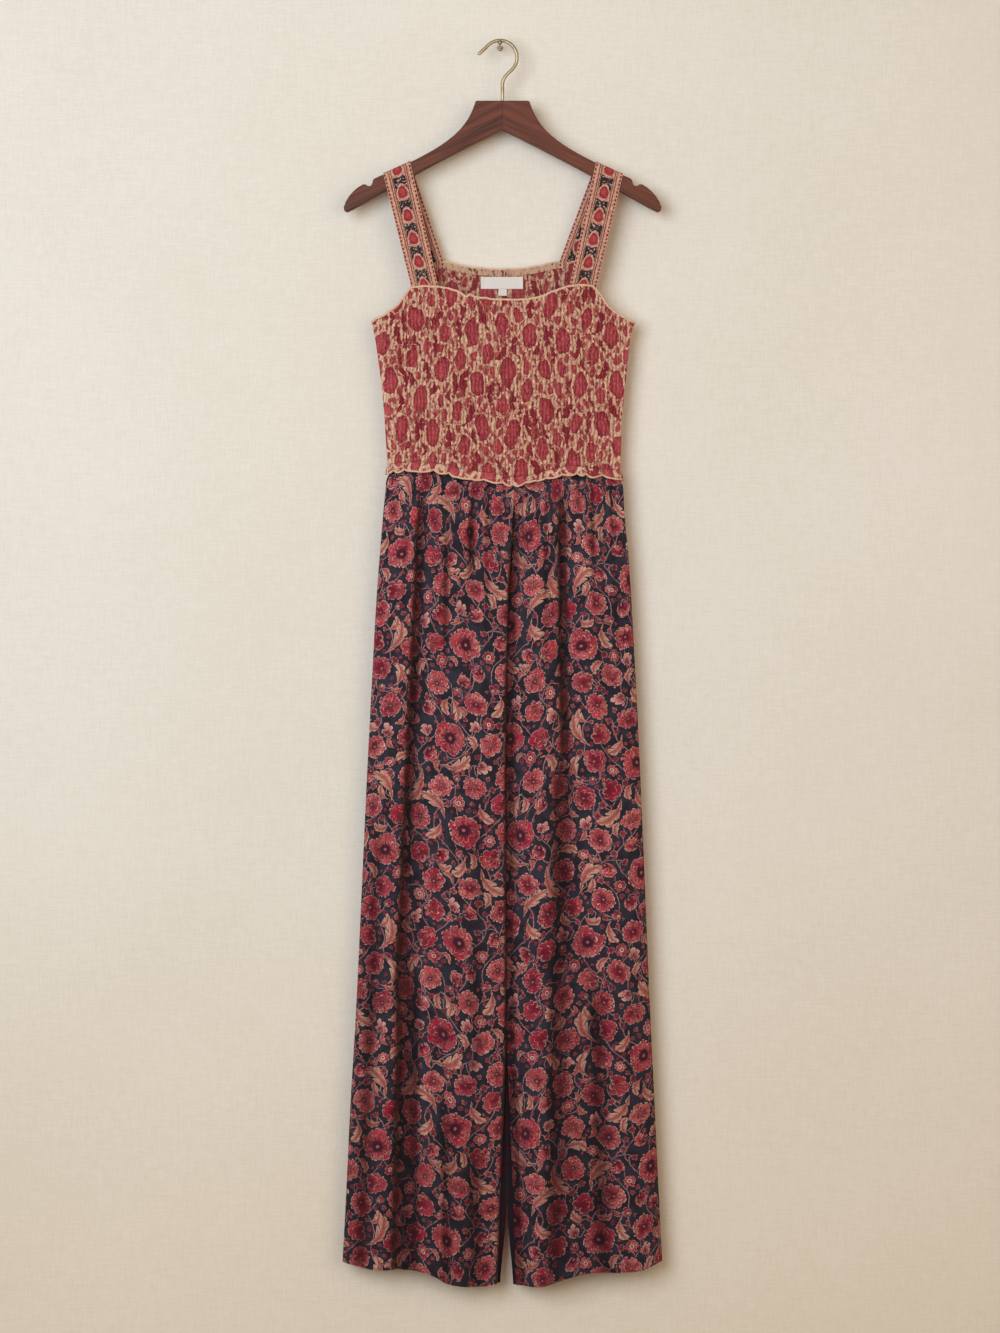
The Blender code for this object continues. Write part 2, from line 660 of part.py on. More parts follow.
def strap_run(x_arm, x_end, z_end, panel):
    """One side of a strap, arm to sewn end: points of its face towards the hanger."""
    across = (np.linspace(0, 1, STRAP_ACROSS + 1) - 0.5) * STRAP_WIDTH
    half = HANGER_THICKNESS / 2 + SEAM_GAP
    sewn = bodice_inside_depth(x_end + across, z_end, panel) - SEAM_GAP - STRAP_WALL
    rows = []
    for share in STRAP_ROW_SHARES:
        x = x_arm + (x_end - x_arm) * share + across
        top = arm_top(np.abs(x_arm + across - HANGER_CENTRE))
        z = top + (z_end - top) * share
        y = half + (sewn - half) * smoothstep(STRAP_LEAVES_ARM, 1.0, share)
        rows.append(np.stack([x, panel.facing * y, z], axis=-1))
    foot = rows[-1].copy()
    foot[:, 2] -= STRAP_SEWN_DEPTH
    return rows + [foot]


def make_strap(name, x_arm, x_front, z_front, x_back, z_back):
    """One strip from the front neckline, over the hanger's arm, to the back one."""
    across = (np.linspace(0, 1, STRAP_ACROSS + 1) - 0.5) * STRAP_WIDTH
    half = HANGER_THICKNESS / 2 + SEAM_GAP
    top = arm_top(np.abs(x_arm + across - HANGER_CENTRE)) + SEAM_GAP
    front = strap_run(x_arm, x_front, z_front, FRONT)[::-1]
    back = strap_run(x_arm, x_back, z_back, BACK)
    over = []
    normals = []
    for degrees in (180, 150, 120, 90, 90, 60, 30, 0):
        turn = np.radians(degrees)
        side = -1 if len(over) < 4 else 1
        middle = side * (half - STRAP_TOP_ROUND)
        y = np.full_like(across, middle + STRAP_TOP_ROUND * np.cos(turn))
        z = top - STRAP_TOP_ROUND + STRAP_TOP_ROUND * np.sin(turn)
        over.append(np.stack([x_arm + across, y, z], axis=-1))
        normals.append((np.cos(turn), np.sin(turn)))
    near = np.array(front + over + back)
    away = [(-1.0, 0.0)] * len(front) + normals + [(1.0, 0.0)] * len(back)
    far = near.copy()
    far[:, :, 1] += STRAP_WALL * np.array(away)[:, :1]
    far[:, :, 2] += STRAP_WALL * np.array(away)[:, 1:]
    return cloth_wall(name, far, near, STRAP_STRIPE)


def make_label(name, x_from, x_to, z_top, z_bottom):
    """Woven tab on the inner face of the back panel, following its curve."""
    x, z = np.meshgrid(np.linspace(x_from, x_to, 5), (z_top, z_bottom))
    near = bodice_inside_depth(x, z, BACK) - SEAM_GAP
    outside = np.stack([x, near - LABEL_WALL, z], axis=-1)
    inside = np.stack([x, near, z], axis=-1)
    return cloth_wall(name, outside, inside, WHITE_SATIN)


def clear_scene():
    for old in list(bpy.data.objects):
        bpy.data.objects.remove(old, do_unlink=True)


def main():
    clear_scene()
    make_wall_pin()
    make_hook()
    make_hanger()
    for row in STRAPS:
        make_strap(*row)
    for panel in (FRONT, BACK):
        make_bodice(panel)
        make_frill(panel)
        for side in (1, -1):
            make_trouser_panel(side, panel)
    make_label("label", *LABEL)
    make_label("size_tab", *SIZE_TAB)


main()
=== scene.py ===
"""Jumpsuit on a wooden hanger: printed cloth, smocking, straps, wood, brass and the stage.

Metres, +Z up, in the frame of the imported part. Shapes are worked out in millimetres as
surfaces of two parameters and scaled once, in build_mesh. "left" and "right" are the
wearer's: left is at +X. The front faces -Y and the wall is towards +Y.
"""
from collections import namedtuple

import bpy
import numpy as np
from bpy.props import FloatProperty, FloatVectorProperty, IntProperty, PointerProperty
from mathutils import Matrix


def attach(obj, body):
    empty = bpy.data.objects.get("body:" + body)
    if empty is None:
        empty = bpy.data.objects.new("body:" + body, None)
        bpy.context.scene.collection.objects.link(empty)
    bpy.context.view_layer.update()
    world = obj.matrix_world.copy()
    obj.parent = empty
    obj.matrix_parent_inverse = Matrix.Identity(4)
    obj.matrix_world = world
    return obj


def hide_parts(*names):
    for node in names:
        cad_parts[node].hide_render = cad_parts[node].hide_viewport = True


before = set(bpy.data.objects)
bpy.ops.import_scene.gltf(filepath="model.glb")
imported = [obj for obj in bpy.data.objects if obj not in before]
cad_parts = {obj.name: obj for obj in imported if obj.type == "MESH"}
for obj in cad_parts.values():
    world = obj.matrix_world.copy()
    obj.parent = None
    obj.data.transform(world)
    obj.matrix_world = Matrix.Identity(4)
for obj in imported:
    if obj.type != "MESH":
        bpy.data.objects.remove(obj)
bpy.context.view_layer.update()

bl_info = {
    "name": "Smocked Jumpsuit",
    "version": (1, 0, 0),
    "blender": (4, 5, 0),
    "location": "3D View > Sidebar > Jumpsuit",
    "description": "Dresses the packed frame of a jumpsuit on a hanger",
    "category": "Object",
}

MM = 0.001
SEAM_GAP = 0.3
HALF_GAP = SEAM_GAP / 2
TURN = 2 * np.pi

# ---- Outlines of the cloth (mm), the same as those of the solids
BODICE_SIDES = (
    # z       x_right  x_left
    (-585.0, -146.8, 158.6),
    (-560.0, -146.4, 158.0),
    (-538.0, -147.2, 157.2),
    (-500.0, -149.5, 158.4),
    (-456.0, -153.1, 162.0),
    (-408.0, -159.1, 166.8),
    (-378.0, -163.9, 171.0),
    (-366.0, -167.0, 175.6),
)
FRONT_TOP = (
    # x       z
    (-167.0, -366.0),
    (-150.8, -356.0),
    (-133.9, -345.0),
    (-122.4, -330.0),
    (-114.7, -320.8),
    (-97.0, -319.6),
    (-78.7, -320.8),
    (-58.5, -325.2),
    (-40.3, -332.4),
    (-15.0, -335.8),
    (10.4, -337.4),
    (30.0, -336.8),
    (46.4, -334.8),
    (68.0, -327.0),
    (89.7, -319.6),
    (104.0, -318.0),
    (118.3, -318.6),
    (128.2, -328.0),
    (140.1, -344.8),
    (154.6, -355.6),
    (175.6, -366.0),
)
BACK_TOP = (
    # x       z
    (-167.0, -366.0),
    (-150.8, -357.0),
    (-133.9, -347.0),
    (-121.0, -332.0),
    (-113.5, -309.0),
    (-109.0, -285.6),
    (-91.0, -283.4),
    (-73.0, -284.4),
    (-52.0, -289.4),
    (-26.0, -293.2),
    (3.0, -294.6),
    (30.0, -293.2),
    (55.0, -289.0),
    (76.0, -284.4),
    (94.6, -283.4),
    (113.0, -285.6),
    (120.5, -309.0),
    (128.5, -330.0),
    (140.1, -346.0),
    (154.6, -356.4),
    (175.6, -366.0),
)
FRILL_HEM = (
    # x       z
    (-150.0, -560.5),
    (-124.0, -558.0),
    (-98.0, -557.6),
    (-47.3, -566.8),
    (2.6, -574.4),
    (15.2, -577.0),
    (36.0, -575.0),
    (58.5, -569.4),
    (94.5, -562.5),
    (130.0, -566.0),
    (162.0, -567.6),
)
TROUSER_SIDES = (
    # z        x_right  x_left
    (-1640.0, -209.0, 214.5),
    (-1586.0, -204.8, 211.0),
    (-1357.0, -193.0, 199.8),
    (-1297.0, -189.2, 196.8),
    (-923.0, -171.3, 181.0),
    (-810.0, -165.3, 175.4),
    (-740.0, -161.5, 171.6),
    (-670.0, -156.5, 167.0),
    (-612.0, -151.6, 161.8),
    (-582.0, -148.8, 160.2),
    (-571.0, -147.8, 158.2),
    (-564.0, -145.4, 153.4),
    (-557.0, -139.4, 149.6),
    (-540.0, -138.0, 149.0),
)
CENTRE_LINE = (
    # z        x      gap between the legs
    (-1640.0, 8.4, 25.0),
    (-1616.0, 8.6, 23.5),
    (-1480.0, 9.0, 14.5),
    (-1360.0, 8.6, 5.0),
    (-1290.0, 8.0, 0.3),
    (-920.0, 8.0, 0.3),
    (-740.0, 11.0, 0.3),
    (-640.0, 16.0, 0.3),
    (-560.0, 19.0, 0.3),
)
RIGHT_HEM = (
    # share  z
    (0.00, -1613.0),
    (0.14, -1615.0),
    (0.31, -1610.5),
    (0.41, -1600.0),
    (0.52, -1594.0),
    (0.80, -1591.5),
    (1.00, -1585.0),
)
LEFT_HEM = (
    # share  z
    (0.00, -1615.5),
    (0.16, -1614.5),
    (0.33, -1604.5),
    (0.52, -1596.0),
    (0.83, -1594.0),
    (1.00, -1583.5),
)
# Soft folds down the legs, those of the solids, then narrow creases of the cloth alone.
FRONT_FOLDS = (
    # x_waist  x_hem  wide_minus  wide_plus  depth  z_start  z_end
    (-97.0, -134.0, 9.0, 13.0, -7.5, -570.0, -1700.0),
    (-78.0, -108.0, 20.0, 22.0, -4.5, -600.0, -1700.0),
    (-60.0, -74.0, 8.0, 16.0, 3.5, -900.0, -1700.0),
    (-39.0, -40.0, 10.0, 12.0, -5.0, -565.0, -900.0),
    (-125.0, -166.0, 16.0, 12.0, 3.0, -570.0, -1700.0),
    (-12.0, -20.0, 14.0, 12.0, 3.0, -575.0, -1700.0),
    (40.0, 52.0, 14.0, 18.0, 4.0, -570.0, -1700.0),
    (79.0, 96.0, 12.0, 10.0, -6.0, -565.0, -1250.0),
    (104.0, 150.0, 14.0, 20.0, 3.0, -565.0, -1700.0),
    (128.0, 176.0, 8.0, 10.0, -4.0, -565.0, -1050.0),
    (100.0, 112.0, 20.0, 14.0, -3.0, -1100.0, -1700.0),
)
BACK_FOLDS = (
    # x_waist  x_hem  wide_minus  wide_plus  depth  z_start  z_end
    (-110.0, -150.0, 10.0, 12.0, -4.5, -570.0, -1700.0),
    (-66.0, -96.0, 14.0, 14.0, 4.0, -570.0, -1700.0),
    (-34.0, -50.0, 10.0, 12.0, -4.0, -565.0, -1500.0),
    (56.0, 70.0, 12.0, 12.0, -4.5, -570.0, -1700.0),
    (92.0, 124.0, 14.0, 14.0, 4.0, -570.0, -1700.0),
    (128.0, 166.0, 10.0, 10.0, -4.0, -565.0, -1400.0),
)
FRONT_CREASES = (
    # x_waist  x_hem  wide_minus  wide_plus  depth  z_start  z_end
    (-100.0, -148.0, 4.0, 4.5, -10.0, -556.0, -1290.0),
    (-116.0, -133.0, 4.0, 5.0, -10.0, -1130.0, -1700.0),
    (-84.0, -104.0, 8.0, 10.0, 3.0, -556.0, -1700.0),
    (-119.0, -150.0, 3.0, 4.0, -3.4, -560.0, -840.0),
    (-84.0, -96.0, 2.6, 3.4, -3.2, -556.0, -700.0),
    (-68.0, -80.0, 3.5, 3.0, -4.0, -560.0, -900.0),
    (-52.0, -58.0, 2.6, 3.0, -3.0, -556.0, -690.0),
    (-37.0, -42.0, 3.6, 4.4, -7.0, -554.0, -760.0),
    (-16.0, -18.0, 3.0, 4.0, -4.4, -558.0, -860.0),
    (-20.0, -36.0, 6.0, 8.0, -3.0, -950.0, -1450.0),
    (-40.0, -31.0, 8.0, 8.0, -5.0, -1380.0, -1700.0),
    (-140.0, -182.0, 7.0, 8.0, -4.0, -980.0, -1700.0),
    (-118.0, -116.0, 6.0, 9.0, -6.0, -1200.0, -1700.0),
    (-83.0, -70.0, 3.5, 8.0, -4.0, -1330.0, -1700.0),
    (30.0, 34.0, 3.0, 4.0, -4.6, -556.0, -760.0),
    (44.0, 48.0, 2.6, 3.0, -3.0, -556.0, -680.0),
    (59.0, 66.0, 3.0, 3.6, -4.0, -558.0, -880.0),
    (79.0, 92.0, 4.0, 5.0, -10.0, -554.0, -1010.0),
    (84.0, 68.0, 9.0, 12.0, -5.0, -900.0, -1700.0),
    (97.0, 110.0, 2.6, 3.4, -3.0, -556.0, -720.0),
    (118.0, 150.0, 3.6, 4.0, -5.6, -556.0, -780.0),
    (100.0, 136.0, 7.0, 10.0, -4.6, -1180.0, -1700.0),
    (132.0, 160.0, 2.6, 3.4, -3.0, -556.0, -700.0),
    (143.0, 190.0, 3.0, 5.0, -2.8, -560.0, -900.0),
)
BACK_CREASES = (
    # x_waist  x_hem  wide_minus  wide_plus  depth  z_start  z_end
    (-124.0, -160.0, 4.0, 6.0, -1.6, -566.0, -860.0),
    (-50.0, -70.0, 5.0, 5.0, -1.8, -566.0, -900.0),
    (34.0, 44.0, 4.0, 6.0, -1.8, -566.0, -820.0),
    (108.0, 140.0, 5.0, 5.0, -1.6, -566.0, -940.0),
)
WAIST_Z, HEM_Z = FRILL_HEM[0][1], RIGHT_HEM[0][1]
BODICE_SECTION = (3.0, 0.8)
LEG_SECTION = (3.4, 0.72)
FOLD_WIDENING = 0.35
FOLD_FADE_IN, FOLD_FADE_OUT = 90.0, 160.0
GATHERS = 9
RIB_ROWS = 33
FRILL_DROP = 11.0
TUCK_AT = -41.0
TROUSER_WALL = 1.6
STRAP_WALL = 1.6
CROTCH_Z = -863.0
SETTLE_LENGTH = 170.0
STRAPS = (
    # name           x_arm   x_front  z_front  x_back  z_back
    ("strap_right", -134.0, -97.4, -320.6, -91.0, -284.4),
    ("strap_left", 142.0, 107.5, -319.0, 94.6, -284.4),
)
STRAP_WIDTH = 35.0
STRAP_SEWN_DEPTH = 9.0
STRAP_TOP_ROUND = 1.8
STRAP_LEAVES_ARM = 0.25
STRAP_REPEAT = 31.0
YARN_STEP = 0.8
HANGER_CENTRE = 3.3
HANGER_THICKNESS = 12.0
WIRE_RADIUS = 2.0
HOOK_BEND_RADIUS = 22.2
HOOK_BEND_START, HOOK_BEND_END = -48.0, 134.0
HOOK_TIP_LENGTH = 18.0
HOOK_NECK_TOP = -56.0
HOOK_DEPTH_IN_WOOD = 16.0
HOOK_NECK_PULL, HOOK_BEND_PULL = 9.0, 8.0
BLOCK_TOP = -77.2
ARM_START = (119.7, -157.0)
ARM_SLOPE = -0.455
TABS = (
    # name       x_from  x_to  z_top   z_bottom
    ("label", -25.0, 30.0, -303.8, -319.4),
    ("size_tab", -2.0, 8.8, -319.7, -328.4),
)

Panel = namedtuple("Panel", "name facing top depth bulge folds creases rows cols smocked bare")
FRONT = Panel("front", -1, FRONT_TOP, 12.5, (15.0, 21.0), FRONT_FOLDS, FRONT_CREASES,
              436, 128, (264, 324), 6)
BACK = Panel("back", 1, BACK_TOP, 11.0, (12.0, 15.0), BACK_FOLDS, BACK_CREASES,
             396, 76, (165, 220), 1)


# ---------------------------------------------------------------- curves and noise

def follow(table, at, column=1):
    """Smooth curve through a table that never overshoots it: cubic pieces whose slope at
    each row is the weighted harmonic mean of the pitches beside it, or 0 at a turn."""
    rows = np.array(sorted(row[:3] for row in table))
    x, y = rows[:, 0], rows[:, column]
    step = np.diff(x)
    pitch = np.diff(y) / step
    before, after = step[:-1] + 2 * step[1:], 2 * step[:-1] + step[1:]
    product = pitch[:-1] * pitch[1:]
    share = np.where(product > 0, before * pitch[1:] + after * pitch[:-1], 1.0)
    inner = np.where(product > 0, product * (before + after) / share, 0.0)
    slope = np.concatenate([pitch[:1], inner, pitch[-1:]])
    i = np.clip(np.searchsorted(x, at, side="right") - 1, 0, len(x) - 2)
    t = np.clip((at - x[i]) / step[i], 0.0, 1.0)
    s = 1 - t
    return ((1 + 2 * t) * s * s * y[i] + t * s * s * step[i] * slope[i]
            + t * t * (3 - 2 * t) * y[i + 1] - t * t * s * step[i] * slope[i + 1])


def smoothstep(start, end, value):
    """0 before start, 1 after end, and an even S between them."""
    t = np.clip((value - start) / (end - start), 0.0, 1.0)
    return t * t * (3 - 2 * t)


def lens(share, bend, rise):
    """A flattened half-lens over 0..1: (1 - |2s - 1|^bend)^rise."""
    return np.maximum(1 - np.abs(2 * share - 1) ** bend, 0.0) ** rise


def soft_noise(x, z, size, seed):
    """Value noise from -1 to 1: random numbers on a lattice of that size, S-blended."""
    numbers = np.random.default_rng(seed).uniform(-1, 1, (61, 67))
    u, v = np.broadcast_arrays(x / size, z / size)
    i, j = np.floor(u).astype(int), np.floor(v).astype(int)
    a, b = smoothstep(0, 1, u - i), smoothstep(0, 1, v - j)
    low = numbers[i % 61, j % 67] * (1 - a) + numbers[(i + 1) % 61, j % 67] * a
    high = numbers[i % 61, (j + 1) % 67] * (1 - a) + numbers[(i + 1) % 61, (j + 1) % 67] * a
    return low * (1 - b) + high * b


def lengths(points, axis):
    """Distance run along one axis of a grid of points, from 0."""
    legs = np.linalg.norm(np.diff(points, axis=axis), axis=-1)
    start = np.zeros_like(np.take(legs, [0], axis=axis))
    return np.concatenate([start, np.cumsum(legs, axis=axis)], axis=axis)


# ---------------------------------------------------------------- meshes

def build_mesh(name, points, quads, triangles, materials, slots=None):
    """A shaded mesh from arrays of points in millimetres, quads and triangles."""
    mesh = bpy.data.meshes.new(name)
    mesh.vertices.add(len(points))
    mesh.vertices.foreach_set("co", (points * MM).astype(np.float32).ravel())
    corners = np.concatenate([quads.ravel(), triangles.ravel()]).astype(np.int32)
    mesh.loops.add(len(corners))
    mesh.loops.foreach_set("vertex_index", corners)
    sizes = np.repeat([4, 3], [len(quads), len(triangles)])
    starts = np.concatenate([[0], np.cumsum(sizes)[:-1]]).astype(np.int32)
    mesh.polygons.add(len(sizes))
    mesh.polygons.foreach_set("loop_start", starts)
    if slots is not None:
        mesh.polygons.foreach_set("material_index", slots.astype(np.int32))
    mesh.update(calc_edges=True)
    mesh.shade_smooth()
    mesh.set_sharp_from_angle(angle=np.radians(60))
    for material in materials:
        mesh.materials.append(material)
    piece = bpy.data.objects.new(name, mesh)
    bpy.context.scene.collection.objects.link(piece)
    return piece


def put(piece, name, values, domain="POINT"):
    """Writes three numbers a point, corner or face to an attribute of the mesh."""
    made = piece.data.attributes.new(name, "FLOAT_VECTOR", domain)
    made.data.foreach_set("vector", np.ascontiguousarray(values, dtype=np.float32).ravel())


def grid_quads(first, rows, cols):
    """Quads of a rows x cols grid of points, and the grid of their indices."""
    index = first + np.arange(rows * cols).reshape(rows, cols)
    quads = np.stack([index[:-1, :-1], index[:-1, 1:], index[1:, 1:], index[1:, :-1]], axis=-1)
    return quads.reshape(-1, 4), index


def border(index):
    """The grid's four sides, each from corner to corner, going once round."""
    return index[0, :], index[:, -1], index[-1, ::-1], index[::-1, 0]


def rim(fine, coarse):
    """Triangles between a side of n * step + 1 points and one of n + 1."""
    step = (len(fine) - 1) // (len(coarse) - 1)
    half = step // 2
    segment = np.arange(len(fine) - 1)
    near = coarse[segment // step + (segment % step >= half)]
    fans = np.stack([fine[1:], fine[:-1], near], axis=-1)
    middle = fine[np.arange(len(coarse) - 1) * step + half]
    return np.vstack([fans, np.stack([coarse[:-1], coarse[1:], middle], axis=-1)])


def unfold(mesh, outer, inner, triangles, bands):
    """The map that the print is baked through: the outer grid is cut into bands of rows that
    stand side by side above a strip for the inner grid and the rim."""
    rows, cols = outer
    i, j = np.meshgrid(np.arange(rows), np.arange(cols), indexing="ij")
    deep = -(-rows // bands)
    down = np.stack([i, i, i + 1, i + 1], axis=-1) - (i // deep * deep)[..., None]
    over = np.stack([j, j + 1, j + 1, j], axis=-1)
    plain = inner[0] < rows
    floor, height = (0.13, 0.865) if plain else (0.515, 0.48)
    u = ((i // deep)[..., None] + 0.01 + 0.98 * over / cols) / bands
    outside = np.stack([u, floor + height * (1 - down / deep)], axis=-1).reshape(-1, 2)
    rows, cols = inner
    i, j = np.meshgrid(np.arange(rows), np.arange(cols), indexing="ij")
    down = np.stack([i + 1, i + 1, i, i], axis=-1) / rows
    over = np.stack([j, j + 1, j + 1, j], axis=-1) / cols
    u, v = (down, 0.03 + 0.09 * over) if plain else (over, 0.03 + 0.47 * down)
    inside = np.stack([0.005 + 0.99 * u, v], axis=-1).reshape(-1, 2)
    k = np.arange(triangles)
    u = 0.005 + 0.99 * np.stack([k, k + 1, k], axis=-1) / (triangles + 1)
    v = 0.005 + 0.015 * np.broadcast_to([0.0, 0.0, 1.0], u.shape)
    ends = np.stack([u, v], axis=-1).reshape(-1, 2)
    made = mesh.uv_layers.new(name="OFBake")
    made.data.foreach_set("uv", np.vstack([outside, inside, ends]).astype(np.float32).ravel())


def cloth_shell(name, outside, inside, on_cloth, materials, layout=None, seed=0, bands=2):
    """A closed thin shell between two grids; the inner one may have fewer points.

    on_cloth gives each outer point its place on the flat cloth, across and down, and the
    height of its relief, which on the trousers also falls towards the hem and along the
    inseam; the materials darken the cloth where it is low, as painted shade. With a layout,
    the print is laid on the outer faces, and on the inner ones where both grids are alike.
    """
    step = (outside.shape[0] - 1) // (inside.shape[0] - 1)
    points = np.vstack([outside.reshape(-1, 3), inside.reshape(-1, 3)])
    places = np.vstack([on_cloth.reshape(-1, 3), on_cloth[::step, ::step].reshape(-1, 3)])
    out_quads, out_index = grid_quads(0, *outside.shape[:2])
    in_quads, in_index = grid_quads(outside.size // 3, *inside.shape[:2])
    ends = np.vstack([rim(a, b) for a, b in zip(border(out_index), border(in_index))])
    quads = np.vstack([out_quads, in_quads[:, ::-1]])
    sample = outside[::step, ::step]
    facing = np.cross(sample[:-1, 1:] - sample[:-1, :-1], sample[1:, 1:] - sample[:-1, 1:])
    if ((sample - inside)[:-1, :-1] * facing).sum() < 0:
        quads, ends = quads[:, ::-1], ends[:, ::-1]
    slots = np.repeat([0, 1, 0], [len(out_quads), len(in_quads), len(ends)])
    piece = build_mesh(name, points, quads, ends, materials, slots)
    put(piece, "cloth_at", places)
    if layout:
        printed = len(quads) if step == 1 else len(out_quads)
        lay_print(piece, layout, places[quads[:printed], :2], seed)
    unfold(piece.data, (outside.shape[0] - 1, outside.shape[1] - 1),
           (inside.shape[0] - 1, inside.shape[1] - 1), len(ends), bands)
    return piece


def tube(name, path, radius, materials, sides=10):
    """A round bead along a path: rings square to it, joined in order, its ends closed."""
    way = np.gradient(path, axis=0)
    way /= np.linalg.norm(way, axis=1)[:, None]
    flat = np.cross(way, (0.0, 1.0, 0.0))
    flat /= np.linalg.norm(flat, axis=1)[:, None]
    deep = np.cross(way, flat)
    turn = np.linspace(0, TURN, sides, endpoint=False)
    thick = np.broadcast_to(radius, len(path))[:, None, None]
    rings = path[:, None] + thick * (flat[:, None] * np.cos(turn)[:, None]
                                     + deep[:, None] * np.sin(turn)[:, None])
    points = np.vstack([rings.reshape(-1, 3), path[:1], path[-1:]])
    index = np.arange(len(path) * sides).reshape(len(path), sides)
    after = np.roll(index, -1, axis=1)
    quads = np.stack([index[:-1], index[1:], after[1:], after[:-1]], axis=-1).reshape(-1, 4)
    first, last = len(points) - 2, len(points) - 1
    caps = np.vstack([np.stack([index[0], after[0], np.full(sides, first)], axis=-1),
                      np.stack([after[-1], index[-1], np.full(sides, last)], axis=-1)])
    piece = build_mesh(name, points, quads, caps, materials)
    along = lengths(path, 0)
    places = np.stack(np.broadcast_arrays(along[:, None], turn[None, :], 0.0), axis=-1)
    put(piece, "thread_at", np.vstack([places.reshape(-1, 3), [[0, 0, 0], [along[-1], 0, 0]]]))
    return piece


# ---------------------------------------------------------------- print layout

BloomKind = namedtuple("BloomKind", "count radius petals swirl heart tone fan stretch")
LeafKind = namedtuple("LeafKind", "count length lobes tone lean width bend")
Motif = namedtuple("Motif", "middle axis spine room pivot size stretch look more")
Layout = namedtuple("Layout", "repeat blooms leaves stems drift")
Design = namedtuple("Design", "repeat kinds gap upright vines drift")

TROUSER_PRINT = Design((188.0, 384.0), (
    # count radius petals swirl heart tone fan stretch, or count length lobes tone lean ...
    BloomKind(4, 24.5, 16, 0.0, 0.28, 0.00, 0.0, 0.97),
    BloomKind(10, 19.0, 14, 0.1, 0.16, 0.00, 0.0, 0.90),
    BloomKind(8, 18.5, 11, 0.8, 0.10, 0.00, 0.0, 0.86),
    BloomKind(7, 26.0, 11, 0.2, 0.06, 0.00, 0.9, 0.82),
    BloomKind(8, 25.0, 9, 1.8, 0.18, 0.02, 0.95, 0.62),
    LeafKind(6, 46.0, 1.7, 0.15, 0.75, 0.38, 0.40),
    LeafKind(8, 32.0, 1.3, 0.00, 0.6, 0.46, -0.50),
    BloomKind(8, 17.0, 7, 0.1, 0.06, 0.58, 0.9, 0.80),
    BloomKind(14, 12.5, 9, 0.0, 0.24, 0.04, 0.0, 0.88),
    LeafKind(12, 23.0, 1.2, 0.10, 0.7, 0.50, 0.6),
    BloomKind(16, 12.0, 6, 0.5, 0.10, -0.18, 0.6, 0.80),
    BloomKind(30, 9.8, 5, 0.3, 0.20, 0.04, 0.5, 0.84),
    LeafKind(26, 17.0, 1.1, 0.50, 0.7, 0.48, 0.7),
    BloomKind(36, 7.8, 5, 0.0, 0.14, -0.24, 0.4, 0.80),
    BloomKind(44, 6.6, 4, 0.0, 0.14, 0.10, 0.5, 0.80),
    BloomKind(50, 3.8, 5, 0.0, 0.00, -0.18, 0.0, 0.80),
    BloomKind(40, 2.0, 3, 0.0, 0.00, 0.1, 0.0, 0.90),
), gap=0.6, upright=0.9, vines=6, drift=1.4)
BODICE_PRINT = Design((252.0, 250.0), (
    BloomKind(13, 21.0, 1, 0.0, 0.05, 0.00, 0.0, 0.70),
    BloomKind(10, 17.0, 2, 0.4, 0.10, 0.04, 0.0, 0.66),
    BloomKind(8, 22.0, 5, 0.6, 0.08, 0.02, 0.85, 0.62),
    LeafKind(24, 36.0, 1.3, 0.9, 0.1, 0.38, 0.35),
    BloomKind(20, 11.0, 3, 0.4, 0.10, 0.00, 0.5, 0.62),
    LeafKind(40, 22.0, 0.9, 0.8, 0.2, 0.44, -0.5),
    BloomKind(70, 7.4, 3, 0.2, 0.10, 0.00, 0.5, 0.56),
    BloomKind(120, 4.8, 3, 0.0, 0.06, -0.12, 0.4, 0.52),
    BloomKind(120, 3.0, 3, 0.0, 0.00, -0.12, 0.0, 0.58),
), gap=1.5, upright=0.3, vines=6, drift=3.6)


def shifts_of(repeat, columns, rows):
    """Shifts of the copies of a repeat; every other column drops by half its height."""
    return [np.array((c * repeat[0], r * repeat[1] - (c % 2) * repeat[1] / 2))
            for c in columns for r in rows]


